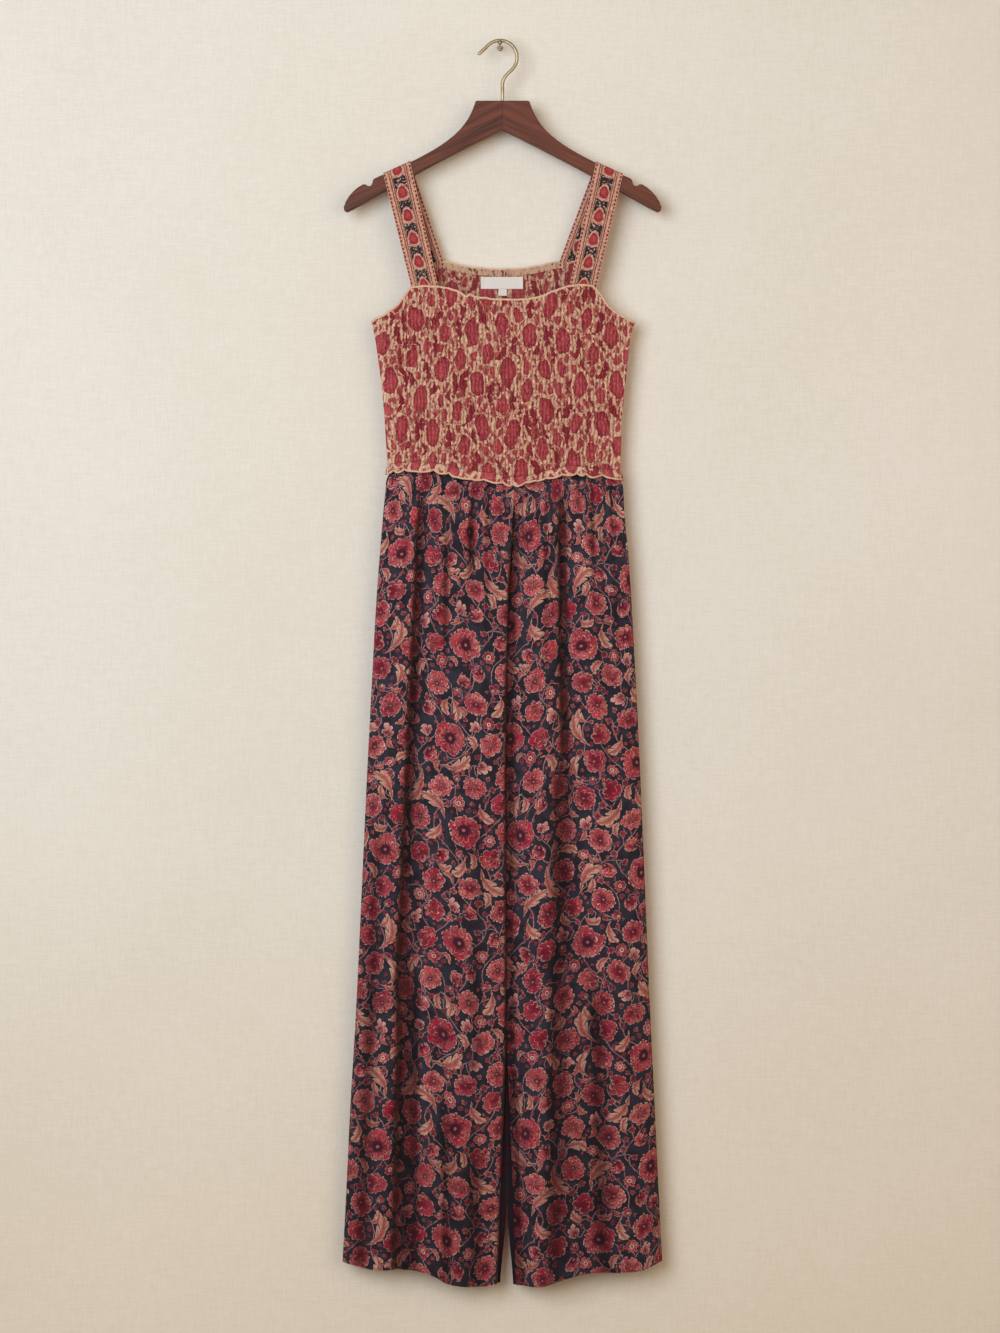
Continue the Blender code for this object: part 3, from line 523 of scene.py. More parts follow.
def scatter(design, seed, tries=300, cell=1.5):
    """Where each motif lies in one repeat.

    A raster of the repeat keeps how far each spot is from the nearest motif. The largest
    motifs come first; each takes the random spot with the most room around it, and small
    round ones then grow or shrink to fit theirs.
    """
    repeat = np.array(design.repeat)
    random = np.random.default_rng(seed)
    copies = np.array(shifts_of(repeat, (-1, 0, 1), (-1, 0, 1, 2)))
    counts = np.ceil(repeat / cell).astype(int)
    spots_x, spots_y = np.meshgrid(*((np.arange(n) + 0.5) * repeat[k] / n
                                     for k, n in enumerate(counts)), indexing="ij")
    free = np.full(counts, 60.0)

    def room_at(at):
        column = np.floor(at[..., 0] / repeat[0])
        down = at[..., 1] + (column % 2) * repeat[1] / 2
        i = ((at[..., 0] % repeat[0]) / repeat[0] * counts[0]).astype(int) % counts[0]
        j = ((down % repeat[1]) / repeat[1] * counts[1]).astype(int) % counts[1]
        return free[i, j]

    blooms, leaves = [], []
    for kind in design.kinds:
        flower = isinstance(kind, BloomKind)
        for _ in range(kind.count):
            spots = random.uniform((0, 0), repeat, (tries, 2))
            loose = flower and design.upright > 0.5
            turns = (random.uniform(0, TURN, tries) if loose else
                     np.pi / 2 * random.choice((-1, 1), tries)
                     + random.normal(0, design.upright, tries))
            axes = np.stack([np.cos(turns), np.sin(turns)], axis=-1)
            spine = 0.0 if flower else kind.length * 0.36
            room = (kind.radius * (1 - 0.38 * kind.fan) * (0.5 + 0.5 * kind.stretch) if flower
                    else kind.length * 0.13)
            knots = (0.0,) if flower else (-1.0, -0.5, 0.0, 0.5, 1.0)
            around = np.min([room_at(spots + axes * spine * k) for k in knots], axis=0)
            best = around.argmax()
            fit = (around[best] - design.gap) / room
            if fit < (0.7 if flower else 0.9):
                continue
            grow = np.clip(fit, 0.7, 1.0 if room > 7 else 1.2) if flower else 1.0
            spot, axis, room = spots[best], axes[best], room * grow
            hand = random.choice((-1.0, 1.0))
            tone = np.clip(kind.tone + random.uniform(-0.1, 0.1), -1, 1)
            if flower:
                radius = kind.radius * grow
                blooms.append(Motif(spot, axis, spine, room, spot - axis * 0.42 * kind.fan
                                    * radius, radius, kind.stretch,
                                    (radius, kind.swirl * hand, kind.petals),
                                    (kind.heart, tone, kind.fan)))
            else:
                leaves.append(Motif(spot, axis, spine, room, spot, kind.length / 2, hand,
                                    (kind.length, kind.lobes, tone),
                                    (kind.lean, kind.width, kind.bend)))
            for knot in knots:
                for x, y in spot + axis * spine * knot + copies:
                    free = np.minimum(free, np.hypot(spots_x - x, spots_y - y) - room)
    vines = vines_of(design, random)
    stems = stems_between(blooms + leaves, vines, copies, random)
    return Layout(design.repeat, blooms, leaves, vines + stems, design.drift)


def vines_of(design, random):
    """Long vines that sway down the whole repeat: sums of two sines that close on it."""
    width, height = design.repeat
    down = np.linspace(0, 1, 49)
    vines = []
    for k in range(design.vines):
        turns = random.uniform(0, TURN, 2)
        sway = np.sin(TURN * 2 * down + turns[0]) + 0.5 * np.sin(TURN * 5 * down + turns[1])
        across = width * (k + 0.5) / design.vines + 0.55 * width / design.vines * sway
        vines.append(np.stack([across, height * down], axis=-1))
    return vines


def stems_between(motifs, vines, copies, random):
    """Curved stems: each larger motif leaves the nearest vine a little below itself, and
    bows out to its heel; one in two also reaches for its nearest neighbour."""
    heads = [m for m in motifs if m.size > 6]
    on_vines = np.vstack([vine + copy for vine in vines for copy in copies])
    middles = (np.array([m.middle for m in heads])[:, None] + copies).reshape(-1, 2)
    t = np.linspace(0, 1, 13)[:, None]
    stems = []
    for head in heads:
        heel = head.middle - head.axis * head.room * 0.5
        below = on_vines + (0.0, 1.3 * head.room)
        ends = [on_vines[np.hypot(*(below - heel).T).argmin()]]
        if random.random() < 0.5:
            ends.append(middles[np.argsort(np.hypot(*(middles - head.middle).T))[1]])
        for end in ends:
            run = end - heel
            side = np.array([-run[1], run[0]]) * random.choice((-1.0, 1.0))
            one = heel - head.axis * head.room + side * 0.25
            two = end - run * 0.3 + side * random.uniform(0.1, 0.5)
            stems.append((1 - t) ** 3 * heel + 3 * t * (1 - t) ** 2 * one
                         + 3 * t ** 2 * (1 - t) * two + t ** 3 * end)
    return stems


def nearest(motifs, centres, shifts, reach=3.0):
    """For each face, the motif whose edge is nearest within reach, and its shift."""
    best = np.full(len(centres), reach)
    which, moved = np.full(len(centres), -1), np.zeros((len(centres), 2))
    low, high = centres.min(axis=0), centres.max(axis=0)
    for shift in shifts:
        for number, motif in enumerate(motifs):
            middle, far = motif.middle + shift, motif.spine + motif.room + reach
            if (middle + far < low).any() or (middle - far > high).any():
                continue
            near = np.flatnonzero((np.abs(centres - middle) < far).all(axis=1))
            away = centres[near] - middle
            along = np.clip(away @ motif.axis, -motif.spine, motif.spine)
            edge = np.linalg.norm(away - along[:, None] * motif.axis, axis=1) - motif.room
            closer = edge < best[near]
            best[near[closer]] = edge[closer]
            which[near[closer]], moved[near[closer]] = number, shift
    return which, moved


def motif_places(motifs, corners, centres, shifts):
    """Each face's motif, and its corners in that motif's own measure: 1 at its tips."""
    which, moved = nearest(motifs, centres, shifts)
    pivot, axis, size, stretch, look, more = (
        np.array([getattr(motif, field) for motif in motifs])[which]
        for field in ("pivot", "axis", "size", "stretch", "look", "more"))
    away = corners - (pivot + moved)[:, None]
    u = (away * axis[:, None]).sum(-1) / size[:, None]
    v = (away[..., 1] * axis[:, None, 0] - away[..., 0] * axis[:, None, 1]) / size[:, None]
    at = np.stack([u, v / stretch[:, None], np.zeros_like(u)], axis=-1)
    at[which < 0] = 9.0
    return at, look, more


def stem_places(stems, corners, centres, shifts, reach=2.4):
    """Distance of each face's corners to either side of the stem that runs through it."""
    best = np.full(len(centres), reach)
    at = np.full((*corners.shape[:2], 3), 9.0)
    low, high = centres.min(axis=0), centres.max(axis=0)
    for shift in shifts:
        for path in stems:
            start, run = path[:-1] + shift, np.diff(path, axis=0)
            first, last = (path + shift).min(axis=0) - reach, (path + shift).max(axis=0) + reach
            if (last < low).any() or (first > high).any():
                continue
            near = np.flatnonzero((centres > first).all(axis=1) & (centres < last).all(axis=1))
            off = centres[near, None] - start
            t = np.clip((off * run).sum(-1) / (run ** 2).sum(-1), 0, 1)
            away = np.linalg.norm(off - t[..., None] * run, axis=-1)
            pick = away.argmin(axis=1)
            far = away[np.arange(len(near)), pick]
            closer = far < best[near]
            take, pick = near[closer], pick[closer]
            best[take] = far[closer]
            way = run[pick] / np.linalg.norm(run[pick], axis=1)[:, None]
            rel = corners[take] - start[pick][:, None]
            at[take, :, 0] = rel[..., 1] * way[:, None, 0] - rel[..., 0] * way[:, None, 1]
    return at


def lay_print(piece, layout, corners, seed):
    """Writes what the print's materials read: for the motif and the stem that each face has,
    its corners' places, and the motif's sizes and tones. The rest of the faces stay bare."""
    flat = corners.reshape(-1, 2)
    drift = [layout.drift * (soft_noise(*flat.T, 14.0, seed + k)
                             + 0.4 * soft_noise(*flat.T, 4.0, seed + 2 + k)) for k in (0, 1)]
    corners = corners + np.stack(drift, axis=-1).reshape(corners.shape)
    centres = corners.mean(axis=1)
    first = np.floor(centres.min(axis=0) / layout.repeat).astype(int) - 1
    last = np.ceil(centres.max(axis=0) / layout.repeat).astype(int) + 2
    shifts = shifts_of(layout.repeat, range(first[0], last[0]), range(first[1], last[1] + 1))
    count = len(centres)
    for kind, motifs in (("bloom", layout.blooms), ("leaf", layout.leaves)):
        at, look, more = motif_places(motifs, corners, centres, shifts)
        every = np.full((len(piece.data.loops), 3), 9.0)
        every[:4 * count] = at.reshape(-1, 3)
        put(piece, kind + "_at", every, "CORNER")
        for name, values in (("_look", look), ("_more", more)):
            faces = np.ones((len(piece.data.polygons), 3))
            faces[:count] = values
            put(piece, kind + name, faces, "FACE")
    every = np.full((len(piece.data.loops), 3), 9.0)
    every[:4 * count] = stem_places(layout.stems, corners, centres, shifts).reshape(-1, 3)
    put(piece, "stem_at", every, "CORNER")


# ---------------------------------------------------------------- shader building

def linear(code):
    """An sRGB hex code as linear RGB."""
    parts = np.array([int(code[i:i + 2], 16) for i in (1, 3, 5)]) / 255
    return tuple(np.where(parts <= 0.04045, parts / 12.92, ((parts + 0.055) / 1.055) ** 2.4))


def add(tree, kind, inputs, **settings):
    """Adds a node with its settings; an input is linked where it is a socket, else set."""
    made = tree.nodes.new("ShaderNode" + kind)
    for name, value in settings.items():
        setattr(made, name, value)
    for key, value in inputs.items():
        if isinstance(value, bpy.types.NodeSocket):
            tree.links.new(value, made.inputs[key])
        else:
            made.inputs[key].default_value = value
    return made


# What a step's name stands for: node, settings, its inputs' sockets in order, its output.
STEPS = {
    "+": ("Math", {"operation": "ADD"}, (0, 1), 0),
    "-": ("Math", {"operation": "SUBTRACT"}, (0, 1), 0),
    "*": ("Math", {"operation": "MULTIPLY"}, (0, 1), 0),
    "/": ("Math", {"operation": "DIVIDE"}, (0, 1), 0),
    "*+": ("Math", {"operation": "MULTIPLY_ADD"}, (0, 1, 2), 0),
    "power": ("Math", {"operation": "POWER"}, (0, 1), 0),
    "least": ("Math", {"operation": "MINIMUM"}, (0, 1), 0),
    "most": ("Math", {"operation": "MAXIMUM"}, (0, 1), 0),
    "above": ("Math", {"operation": "GREATER_THAN"}, (0, 1), 0),
    "round": ("Math", {"operation": "ROUND"}, (0,), 0),
    "floor": ("Math", {"operation": "FLOOR"}, (0,), 0),
    "part": ("Math", {"operation": "FRACT"}, (0,), 0),
    "size": ("Math", {"operation": "ABSOLUTE"}, (0,), 0),
    "wave": ("Math", {"operation": "SINE"}, (0,), 0),
    "cosine": ("Math", {"operation": "COSINE"}, (0,), 0),
    "angle": ("Math", {"operation": "ARCTAN2"}, (0, 1), 0),
    "length": ("VectorMath", {"operation": "LENGTH"}, (0,), 1),
    "x": ("SeparateXYZ", {}, (0,), 0),
    "y": ("SeparateXYZ", {}, (0,), 1),
    "z": ("SeparateXYZ", {}, (0,), 2),
    "vector": ("CombineXYZ", {}, (0, 1, 2), 0),
    "ease": ("MapRange", {"interpolation_type": "SMOOTHSTEP"}, (0, 1, 2, 3, 4), 0),
    "blend": ("Mix", {"data_type": "RGBA"}, (0, 6, 7), 2),
    "dim": ("Mix", {"data_type": "RGBA", "blend_type": "MULTIPLY"}, (0, 6, 7), 2),
    "mapped": ("Mapping", {"vector_type": "POINT"}, (0, 2, 3), 0),
    "noise": ("TexNoise", {}, (0, 2, 3, 4), 0),
    "chance": ("TexWhiteNoise", {"noise_dimensions": "3D"}, (0,), 0),
    "bump": ("Bump", {}, ("Strength", "Distance", "Height"), 0),
}


def work_out(tree, rows, known):
    """Adds a node for each row (result, step, inputs...) and keeps its output by name in
    known. An input is the name of a known value, or a number."""
    for result, step, *inputs in rows:
        kind, settings, sockets, output = STEPS[step]
        values = [known[i] if isinstance(i, str) else i for i in inputs]
        known[result] = add(tree, kind, dict(zip(sockets, values)), **settings).outputs[output]


def new_material(name, attributes=(), **constants):
    """A material with one Principled shader whose constant sockets are given, and what its
    steps may read: the piece's own space and the named attributes."""
    made = bpy.data.materials.new(name)
    made.use_nodes = True
    tree = made.node_tree
    shader = tree.nodes["Principled BSDF"]
    for socket, value in constants.items():
        shader.inputs[socket.replace("_", " ")].default_value = value
    known = {a: add(tree, "Attribute", {}, attribute_name=a).outputs["Vector"]
             for a in attributes}
    known["place"] = add(tree, "TexCoord", {}).outputs["Object"]
    return made, tree, shader, known


def colours_of(group):
    """A settings group's colours by name, as the steps take them."""
    return {name: (*getattr(group, name), 1.0) for name in group.__annotations__}


def finish_material(tree, shader, known, **sockets):
    """Links the named results to the shader's sockets."""
    for socket, result in sockets.items():
        tree.links.new(known[result], shader.inputs[socket.replace("_", " ")])


BLOOM_STEPS = (
    # result, step, inputs
    ("bloom_u", "x", "bloom_at"),
    ("bloom_v", "y", "bloom_at"),
    ("bloom_uv", "vector", "bloom_u", "bloom_v", 0.0),
    ("radius", "length", "bloom_uv"),
    ("size_mm", "x", "bloom_look"),
    ("swirl", "y", "bloom_look"),
    ("petals", "z", "bloom_look"),
    ("heart", "x", "bloom_more"),
    ("tone", "y", "bloom_more"),
    ("fan", "z", "bloom_more"),
    ("angle", "angle", "bloom_v", "bloom_u"),
    # drawn by hand: the petals lean a little to either side
    ("hand", "noise", "place", 170.0, 1.0, 0.5),
    ("leaning_by", "*+", "hand", 1.0, -0.5),
    ("straight", "+", "angle", "leaning_by"),
    ("twisted", "*+", "swirl", "radius", "straight"),
    ("turns", "*", "twisted", 1 / TURN),
    # outer petals: fold is 0 along a petal's middle and 1 between two petals
    ("count", "*", "turns", "petals"),
    ("share", "part", "count"),
    ("centred", "-", "share", 0.5),
    ("half", "size", "centred"),
    ("fold", "*", "half", 2.0),
    ("pinch", "power", "fold", 3.0),
    ("notch_by", "ease", "petals", 4.0, 11.0, "few_notched", -0.26),
    ("plain_end", "*+", "pinch", "notch_by", 1.0),
    # a fan has its petals shorter the further they point backwards
    ("cosine", "cosine", "twisted"),
    ("behind", "*+", "cosine", -0.5, 0.5),
    ("fan_cut", "*", "fan", "behind"),
    ("fan_end", "*+", "fan_cut", -1.0, 1.0),
    # each petal has its own length
    ("index", "floor", "count"),
    ("which", "vector", "index", "size_mm", "heart"),
    ("own", "chance", "which"),
    ("uneven_by", "ease", "petals", 2.0, 6.0, 0.0, -0.2),
    ("own_end", "*+", "own", "uneven_by", 1.0),
    ("even_end", "*", "plain_end", "fan_end"),
    ("petal_end", "*", "even_end", "own_end"),
    ("inside", "-", "petal_end", "radius"),
    ("depth", "*", "inside", "size_mm"),
    ("bloom", "ease", "depth", 0.0, 0.4, 0.0, 1.0),
    ("tip_share", "*", "size_mm", 0.12),
    ("tip_wide", "least", "tip_share", 1.9),
    ("tip", "ease", "depth", "tip_wide", 0.1, 0.0, 1.0),
    ("left", "*+", "fold", -1.0, 1.0),
    ("arc", "*", "left", "radius"),
    ("arc_mm", "*", "arc", "size_mm"),
    ("arc_each", "/", "arc_mm", "petals"),
    ("gap_mm", "*", "arc_each", np.pi),
    ("parting", "ease", "gap_mm", 0.7, 0.15, 0.0, 1.0),
    # a second, shorter tier of petals over the first
    ("fewer", "*", "petals", 0.62),
    ("inner_n", "round", "fewer"),
    ("inner_count", "*+", "turns", "inner_n", 0.31),
    ("inner_share", "part", "inner_count"),
    ("inner_mid", "-", "inner_share", 0.5),
    ("inner_half", "size", "inner_mid"),
    ("inner_pinch", "power", "inner_half", 2.0),
    ("inner_plain", "*+", "inner_pinch", -0.9, 0.62),
    ("inner_end", "*", "inner_plain", "fan_end"),
    ("inner_in", "-", "inner_end", "radius"),
    ("inner_depth", "*", "inner_in", "size_mm"),
    ("inner", "ease", "inner_depth", 0.0, 0.3, 0.0, 1.0),
    ("inner_edge", "ease", "inner_depth", 1.3, 0.4, 0.0, 1.0),
    ("inner_tip", "*", "inner", "inner_edge"),
    ("large", "above", "size_mm", 9.0),
    ("broken", "noise", "place", 120.0, 1.0, 0.5),
    ("unbroken", "ease", "broken", 0.46, 0.56, 0.1, 1.0),
    ("inner_all", "*", "inner_tip", "large"),
    ("inner_line", "*", "inner_all", "unbroken"),
    # a turned motif, such as a paisley, has a second outline inside its edge
    ("second_at", "-", "depth", 3.4),
    ("second_off", "size", "second_at"),
    ("second_line", "ease", "second_off", 0.7, 0.25, 0.0, 1.0),
    ("turned", "size", "swirl"),
    ("turned_share", "ease", "turned", 0.6, 1.2, 0.0, 0.75),
    ("second", "*", "second_line", "turned_share"),
    ("halo_edge", "ease", "depth", -2.9, -2.0, 0.0, 1.0),
    ("halo", "*", "halo_edge", "large"),
    # the heart: a filled disc in a ring, with a dot
    ("heart_in", "-", "heart", "radius"),
    ("heart_mm", "*", "heart_in", "size_mm"),
    ("heart_fill", "ease", "heart_mm", -2.0, 0.8, 0.0, 1.0),
    ("heart_off", "size", "heart_mm"),
    ("ring_line", "ease", "heart_off", 1.0, 0.4, 0.0, 1.0),
    ("ringed_size", "ease", "size_mm", 17.0, 12.0, 0.0, 1.0),
    ("ring_large", "*", "ring_line", "large"),
    ("ring", "*", "ring_large", "ringed_size"),
    ("from_middle", "*", "radius", "size_mm"),
    ("dot_mm", "*", "size_mm", 0.08),
    ("dot_far", "-", "from_middle", "dot_mm"),
    ("dot", "ease", "dot_far", 0.4, -0.2, 0.0, 0.5),
)
LEAF_STEPS = (
    ("leaf_u", "x", "leaf_at"),
    ("leaf_v", "y", "leaf_at"),
    ("leaf_mm", "x", "leaf_look"),
    ("lobes", "y", "leaf_look"),
    ("leaf_tone", "z", "leaf_look"),
    ("lean", "x", "leaf_more"),
    ("leaf_width", "y", "leaf_more"),
    ("leaf_bend", "z", "leaf_more"),
    # the midrib is bent as a parabola, and the width falls to 0 at both ends
    ("u_squared", "*", "leaf_u", "leaf_u"),
    ("arch", "-", "u_squared", 0.4),
    ("from_rib", "*+", "leaf_bend", "arch", "leaf_v"),
    ("out", "size", "from_rib"),
    ("swell", "*+", "u_squared", -1.0, 1.0),
    ("swelling", "most", "swell", 0.0),
    ("bow", "power", "swelling", 0.7),
    ("leaning", "*+", "leaf_u", "lean", 1.0),
    ("bow_width", "*", "bow", "leaf_width"),
    ("widest", "*", "bow_width", "leaning"),
    # lobes slant forwards; lobe_off is 0 along a lobe's middle and 1 between two lobes
    ("slant", "*+", "out", -1.15, "leaf_u"),
    ("lobe_at", "*", "slant", "lobes"),
    ("lobe_share", "part", "lobe_at"),
    ("lobe_mid", "-", "lobe_share", 0.5),
    ("lobe_half", "size", "lobe_mid"),
    ("lobe_off", "*", "lobe_half", 2.0),
    ("lobe_pinch", "power", "lobe_off", 3.0),
    ("notch", "*+", "lobe_pinch", -0.7, 1.0),
    ("edge", "*", "widest", "notch"),
    ("leaf_in", "-", "edge", "out"),
    ("leaf_depth", "*", "leaf_in", "leaf_mm"),
    ("leaf", "ease", "leaf_depth", 0.0, 0.8, 0.0, 1.0),
    ("leaf_edge", "ease", "leaf_depth", 1.6, 0.6, 0.0, 1.0),
    ("rib_mm", "*", "out", "leaf_mm"),
    ("rib", "ease", "rib_mm", 1.8, 0.6, 0.0, 1.0),
    ("vein", "ease", "lobe_off", 0.26, 0.08, 0.0, 1.0),
    ("from_base", "ease", "leaf_u", 0.5, -0.9, 0.0, 1.0),
    ("wide_mm", "*", "widest", "leaf_mm"),
    ("core_off", "*+", "wide_mm", -0.3, "rib_mm"),
    ("core", "ease", "core_off", 0.9, -0.9, 0.0, 0.65),
    ("stem_off", "x", "stem_at"),
    ("stem_mm", "size", "stem_off"),
    ("stem_line", "ease", "stem_mm", 0.8, 0.3, 0.0, 1.0),
)
# How the inks lie over each other, from the ground up.
INK_STEPS = (
    ("cloud_at", "mapped", "place", (0, 0, 0), "cloud_scale"),
    ("cloud", "noise", "cloud_at", 1.0, 2.0, 0.5),
    ("blotch", "noise", "place", 330.0, 2.0, 0.5),
    ("hue", "noise", "place", 27.0, 1.0, 0.5),
    ("cloudy", "ease", "cloud", "cloud_low", "cloud_high", 0.0, 1.0),
    ("ground_mix", "blend", "cloudy", "ground", "ground_dark"),
    ("stem_worn", "ease", "blotch", 0.36, 0.6, 0.5, 0.95),
    ("stem", "*", "stem_line", "stem_worn"),
    ("with_stems", "blend", "stem", "ground_mix", "stem_ink"),
    ("leaf_pale", "blend", "leaf_tone", "leaf_ink", "bloom_red"),
    ("leaf_cored", "blend", "core", "leaf_pale", "leaf_base"),
    ("base_share", "*", "from_base", 0.7),
    ("leaf_based", "blend", "base_share", "leaf_cored", "leaf_base"),
    ("rib_share", "*", "rib", 0.6),
    ("leaf_ribbed", "blend", "rib_share", "leaf_based", "leaf_base"),
    ("vein_share", "*", "vein", 0.4),
    ("leaf_veined", "blend", "vein_share", "leaf_ribbed", "leaf_base"),
    ("edge_share", "*", "leaf_edge", 0.85),
    ("leaf_rimmed", "blend", "edge_share", "leaf_veined", "leaf_rim"),
    ("with_leaves", "blend", "leaf", "with_stems", "leaf_rimmed"),
    ("halo_share", "*", "halo", "halo_strength"),
    ("with_halo", "blend", "halo_share", "with_leaves", "halo_ink"),
    ("outwards", "ease", "radius", 0.1, 0.9, 0.0, 1.0),
    ("warm", "ease", "hue", 0.46, 0.58, 0.0, 1.0),
    ("bloom_hue", "blend", "warm", "bloom_red", "bloom_warm"),
    ("petal_plain", "blend", "outwards", "bloom_deep", "bloom_hue"),
    ("uneven", "ease", "cloud", 0.42, 0.62, 0.0, 0.35),
    ("petal", "blend", "uneven", "petal_plain", "bloom_deep"),
    ("own_light", "ease", "own", 0.55, 1.0, 0.0, "own_strength"),
    ("petal_own", "blend", "own_light", "petal", "parting_ink"),
    ("blot", "ease", "blotch", 0.5, 0.64, 0.0, "mottling"),
    ("petal_mottled", "blend", "blot", "petal_own", "bloom_deep"),
    ("lit", "*", "tone", "outwards"),
    ("petal_lit", "blend", "lit", "petal_mottled", "petal_tip"),
    ("part_share", "*", "parting", "parting_strength"),
    ("line_hue", "blend", "warm", "bloom_deep", "parting_ink"),
    ("line_ink", "blend", "tone", "line_hue", "bloom_deep"),
    ("petal_parted", "blend", "part_share", "petal_lit", "line_ink"),
    ("streak_at", "*", "count", 3.1),
    ("streak_in", "*", "radius", 1.3),
    ("streak_xyz", "vector", "streak_at", "streak_in", "size_mm"),
    ("streaks", "noise", "streak_xyz", 1.0, 2.0, 0.5),
    ("streak", "ease", "streaks", 0.5, 0.6, 0.0, 1.0),
    ("streak_out", "*", "streak", "outwards"),
    ("streak_ink", "*", "streak_out", "streak_strength"),
    ("petal_streaked", "blend", "streak_ink", "petal_parted", "line_ink"),
    ("tip_own", "*+", "own", 0.5, 0.5),
    ("tip_worn", "*", "tip", "tip_own"),
    ("tip_ink", "*", "tip_worn", "tip_strength"),
    ("petal_tipped", "blend", "tip_ink", "petal_streaked", "petal_tip"),
    ("inner_ink", "*", "inner_line", "inner_strength"),
    ("petal_inner", "blend", "inner_ink", "petal_tipped", "petal_tip"),
    ("petal_second", "blend", "second", "petal_inner", "petal_tip"),
    ("hearted", "blend", "heart_fill", "petal_second", "heart_ink"),
    ("ring_share", "*", "ring", "ring_strength"),
    ("ringed", "blend", "ring_share", "hearted", "petal_tip"),
    ("dotted", "blend", "dot", "ringed", "parting_ink"),
    # a motif of negative tone is printed dark
    ("below_nil", "*", "tone", -1.7),
    ("dusk", "most", "below_nil", 0.0),
    ("dusky", "blend", "dusk", "dotted", "dusk_ink"),
    ("printed", "blend", "bloom", "with_halo", "dusky"),
    # painted shade: the print is darkened where the relief value is low, in the relief's valleys,
    # and the yarns show as fine specks
    ("lifted", "ease", "raised", 0.0, 0.75, 0.0, 1.0),
    ("shade", "blend", "lifted", "valley", (1.0, 1.0, 1.0, 1.0)),
    ("shaded", "dim", 1.0, "printed", "shade"),
    ("flecks_at", "mapped", "place", (0, 0, 0), "fleck_scale"),
    ("speckle", "noise", "flecks_at", 1.0, 1.0, 0.5),
    ("yarns", "ease", "speckle", 0.36, 0.64, "fleck_low", "fleck_high"),
    ("dyed", "dim", 1.0, "shaded", "yarns"),
    ("colour", "blend", "faded", "dyed", "reverse"),
)
FLAT_STEPS = (
    ("cloth_u", "x", "cloth_at"),
    ("cloth_v", "y", "cloth_at"),
    # raised is the relief value that the painted shade is taken from
    ("raised", "z", "cloth_at"),
)
# Yarns 0.25 mm apart are drawn 0.8 mm apart, so that they show.
WEAVE_STEPS = (
    ("warp_at", "*", "cloth_u", TURN / YARN_STEP),
    ("warp", "wave", "warp_at"),
    ("weft_at", "*", "cloth_v", TURN / YARN_STEP),
    ("weft", "wave", "weft_at"),
    ("woven", "*", "warp", "weft"),
    ("rough", "*+", "speckle", 1.5, "woven"),
    ("bumped", "bump", 0.25, 0.00012, "rough"),
)
PRINT_FIELDS = ("bloom_at", "bloom_look", "bloom_more", "leaf_at", "leaf_look", "leaf_more",
                "stem_at", "cloth_at")


def printed_cloth(name, inks, strengths, faded=0.0):
    """Plain-woven cotton, block printed: the yarns scatter light evenly, the ground is
    softly cloudy, and the inks lie in the yarns with no gloss. Faded is the cloth's
    reverse, where the ink has only come through in part."""
    made, tree, shader, known = new_material(name, PRINT_FIELDS, Roughness=0.9,
                                             Specular_IOR_Level=0.2, Sheen_Weight=0.08)
    known.update(strengths, faded=faded, **colours_of(inks))
    work_out(tree, FLAT_STEPS + BLOOM_STEPS + LEAF_STEPS + INK_STEPS + WEAVE_STEPS, known)
    finish_material(tree, shader, known, Base_Color="colour", Normal="bumped")
    return made


def plain_reverse(name, ground, print_ink):
    """The wrong side of the printed cloth where nobody looks: the print has come through
    as soft clouds of its colours, and shade is painted where its relief is low."""
    made, tree, shader, known = new_material(name, ("cloth_at",), Roughness=0.92,
                                             Specular_IOR_Level=0.2)
    known["low"], known["high"] = (*ground, 1.0), (*print_ink, 1.0)
    work_out(tree, FLAT_STEPS + (
        ("patch", "noise", "place", 90.0, 3.0, 0.6),
        ("patches", "ease", "patch", 0.46, 0.6, 0.0, 0.8),
        ("mixed", "blend", "patches", "low", "high"),
        ("speckle", "noise", "place", 900.0, 2.0, 0.6),
        ("yarns", "ease", "speckle", 0.3, 0.7, 0.85, 1.1),
        ("woolly", "dim", 1.0, "mixed", "yarns"),
        # painted shade where the relief value is low
        ("shade", "ease", "raised", 0.0, 0.75, 0.2, 1.0),
        ("colour", "dim", 1.0, "woolly", "shade"),
    ) + WEAVE_STEPS, known)
    finish_material(tree, shader, known, Base_Color="colour", Normal="bumped")
    return made


def tan_cloth(inks):
    """Unprinted tan cotton of a turned hem: warm, matte, creased across its gathers, with
    painted shade in the low parts of its ripples and a faint painted highlight on their tops.
    """
    made, tree, shader, known = new_material("tan cotton hem", ("cloth_at",), Roughness=0.9,
                                             Specular_IOR_Level=0.2)
    known["tan"] = (*(np.array(inks.ground) * (0.74, 0.72, 0.7)), 1.0)
    known["deep"] = (*inks.dusk_ink, 1.0)
    work_out(tree, FLAT_STEPS + (
        ("drawn", "mapped", "place", (0, 0, 0), (330, 330, 120)),
        ("patch", "noise", "drawn", 1.0, 2.0, 0.5),
        ("patches", "ease", "patch", 0.53, 0.62, 0.0, 0.9),
        ("mixed", "blend", "patches", "tan", "deep"),
        ("speckle", "noise", "place", 900.0, 2.0, 0.6),
        # painted shade in the ripples' low parts, a faint painted highlight on their tops
        ("shade", "ease", "raised", 0.6, 1.1, 0.7, 1.05),
        ("colour", "dim", 1.0, "mixed", "shade"),
    ) + WEAVE_STEPS, known)
    finish_material(tree, shader, known, Base_Color="colour", Normal="bumped")
    return made


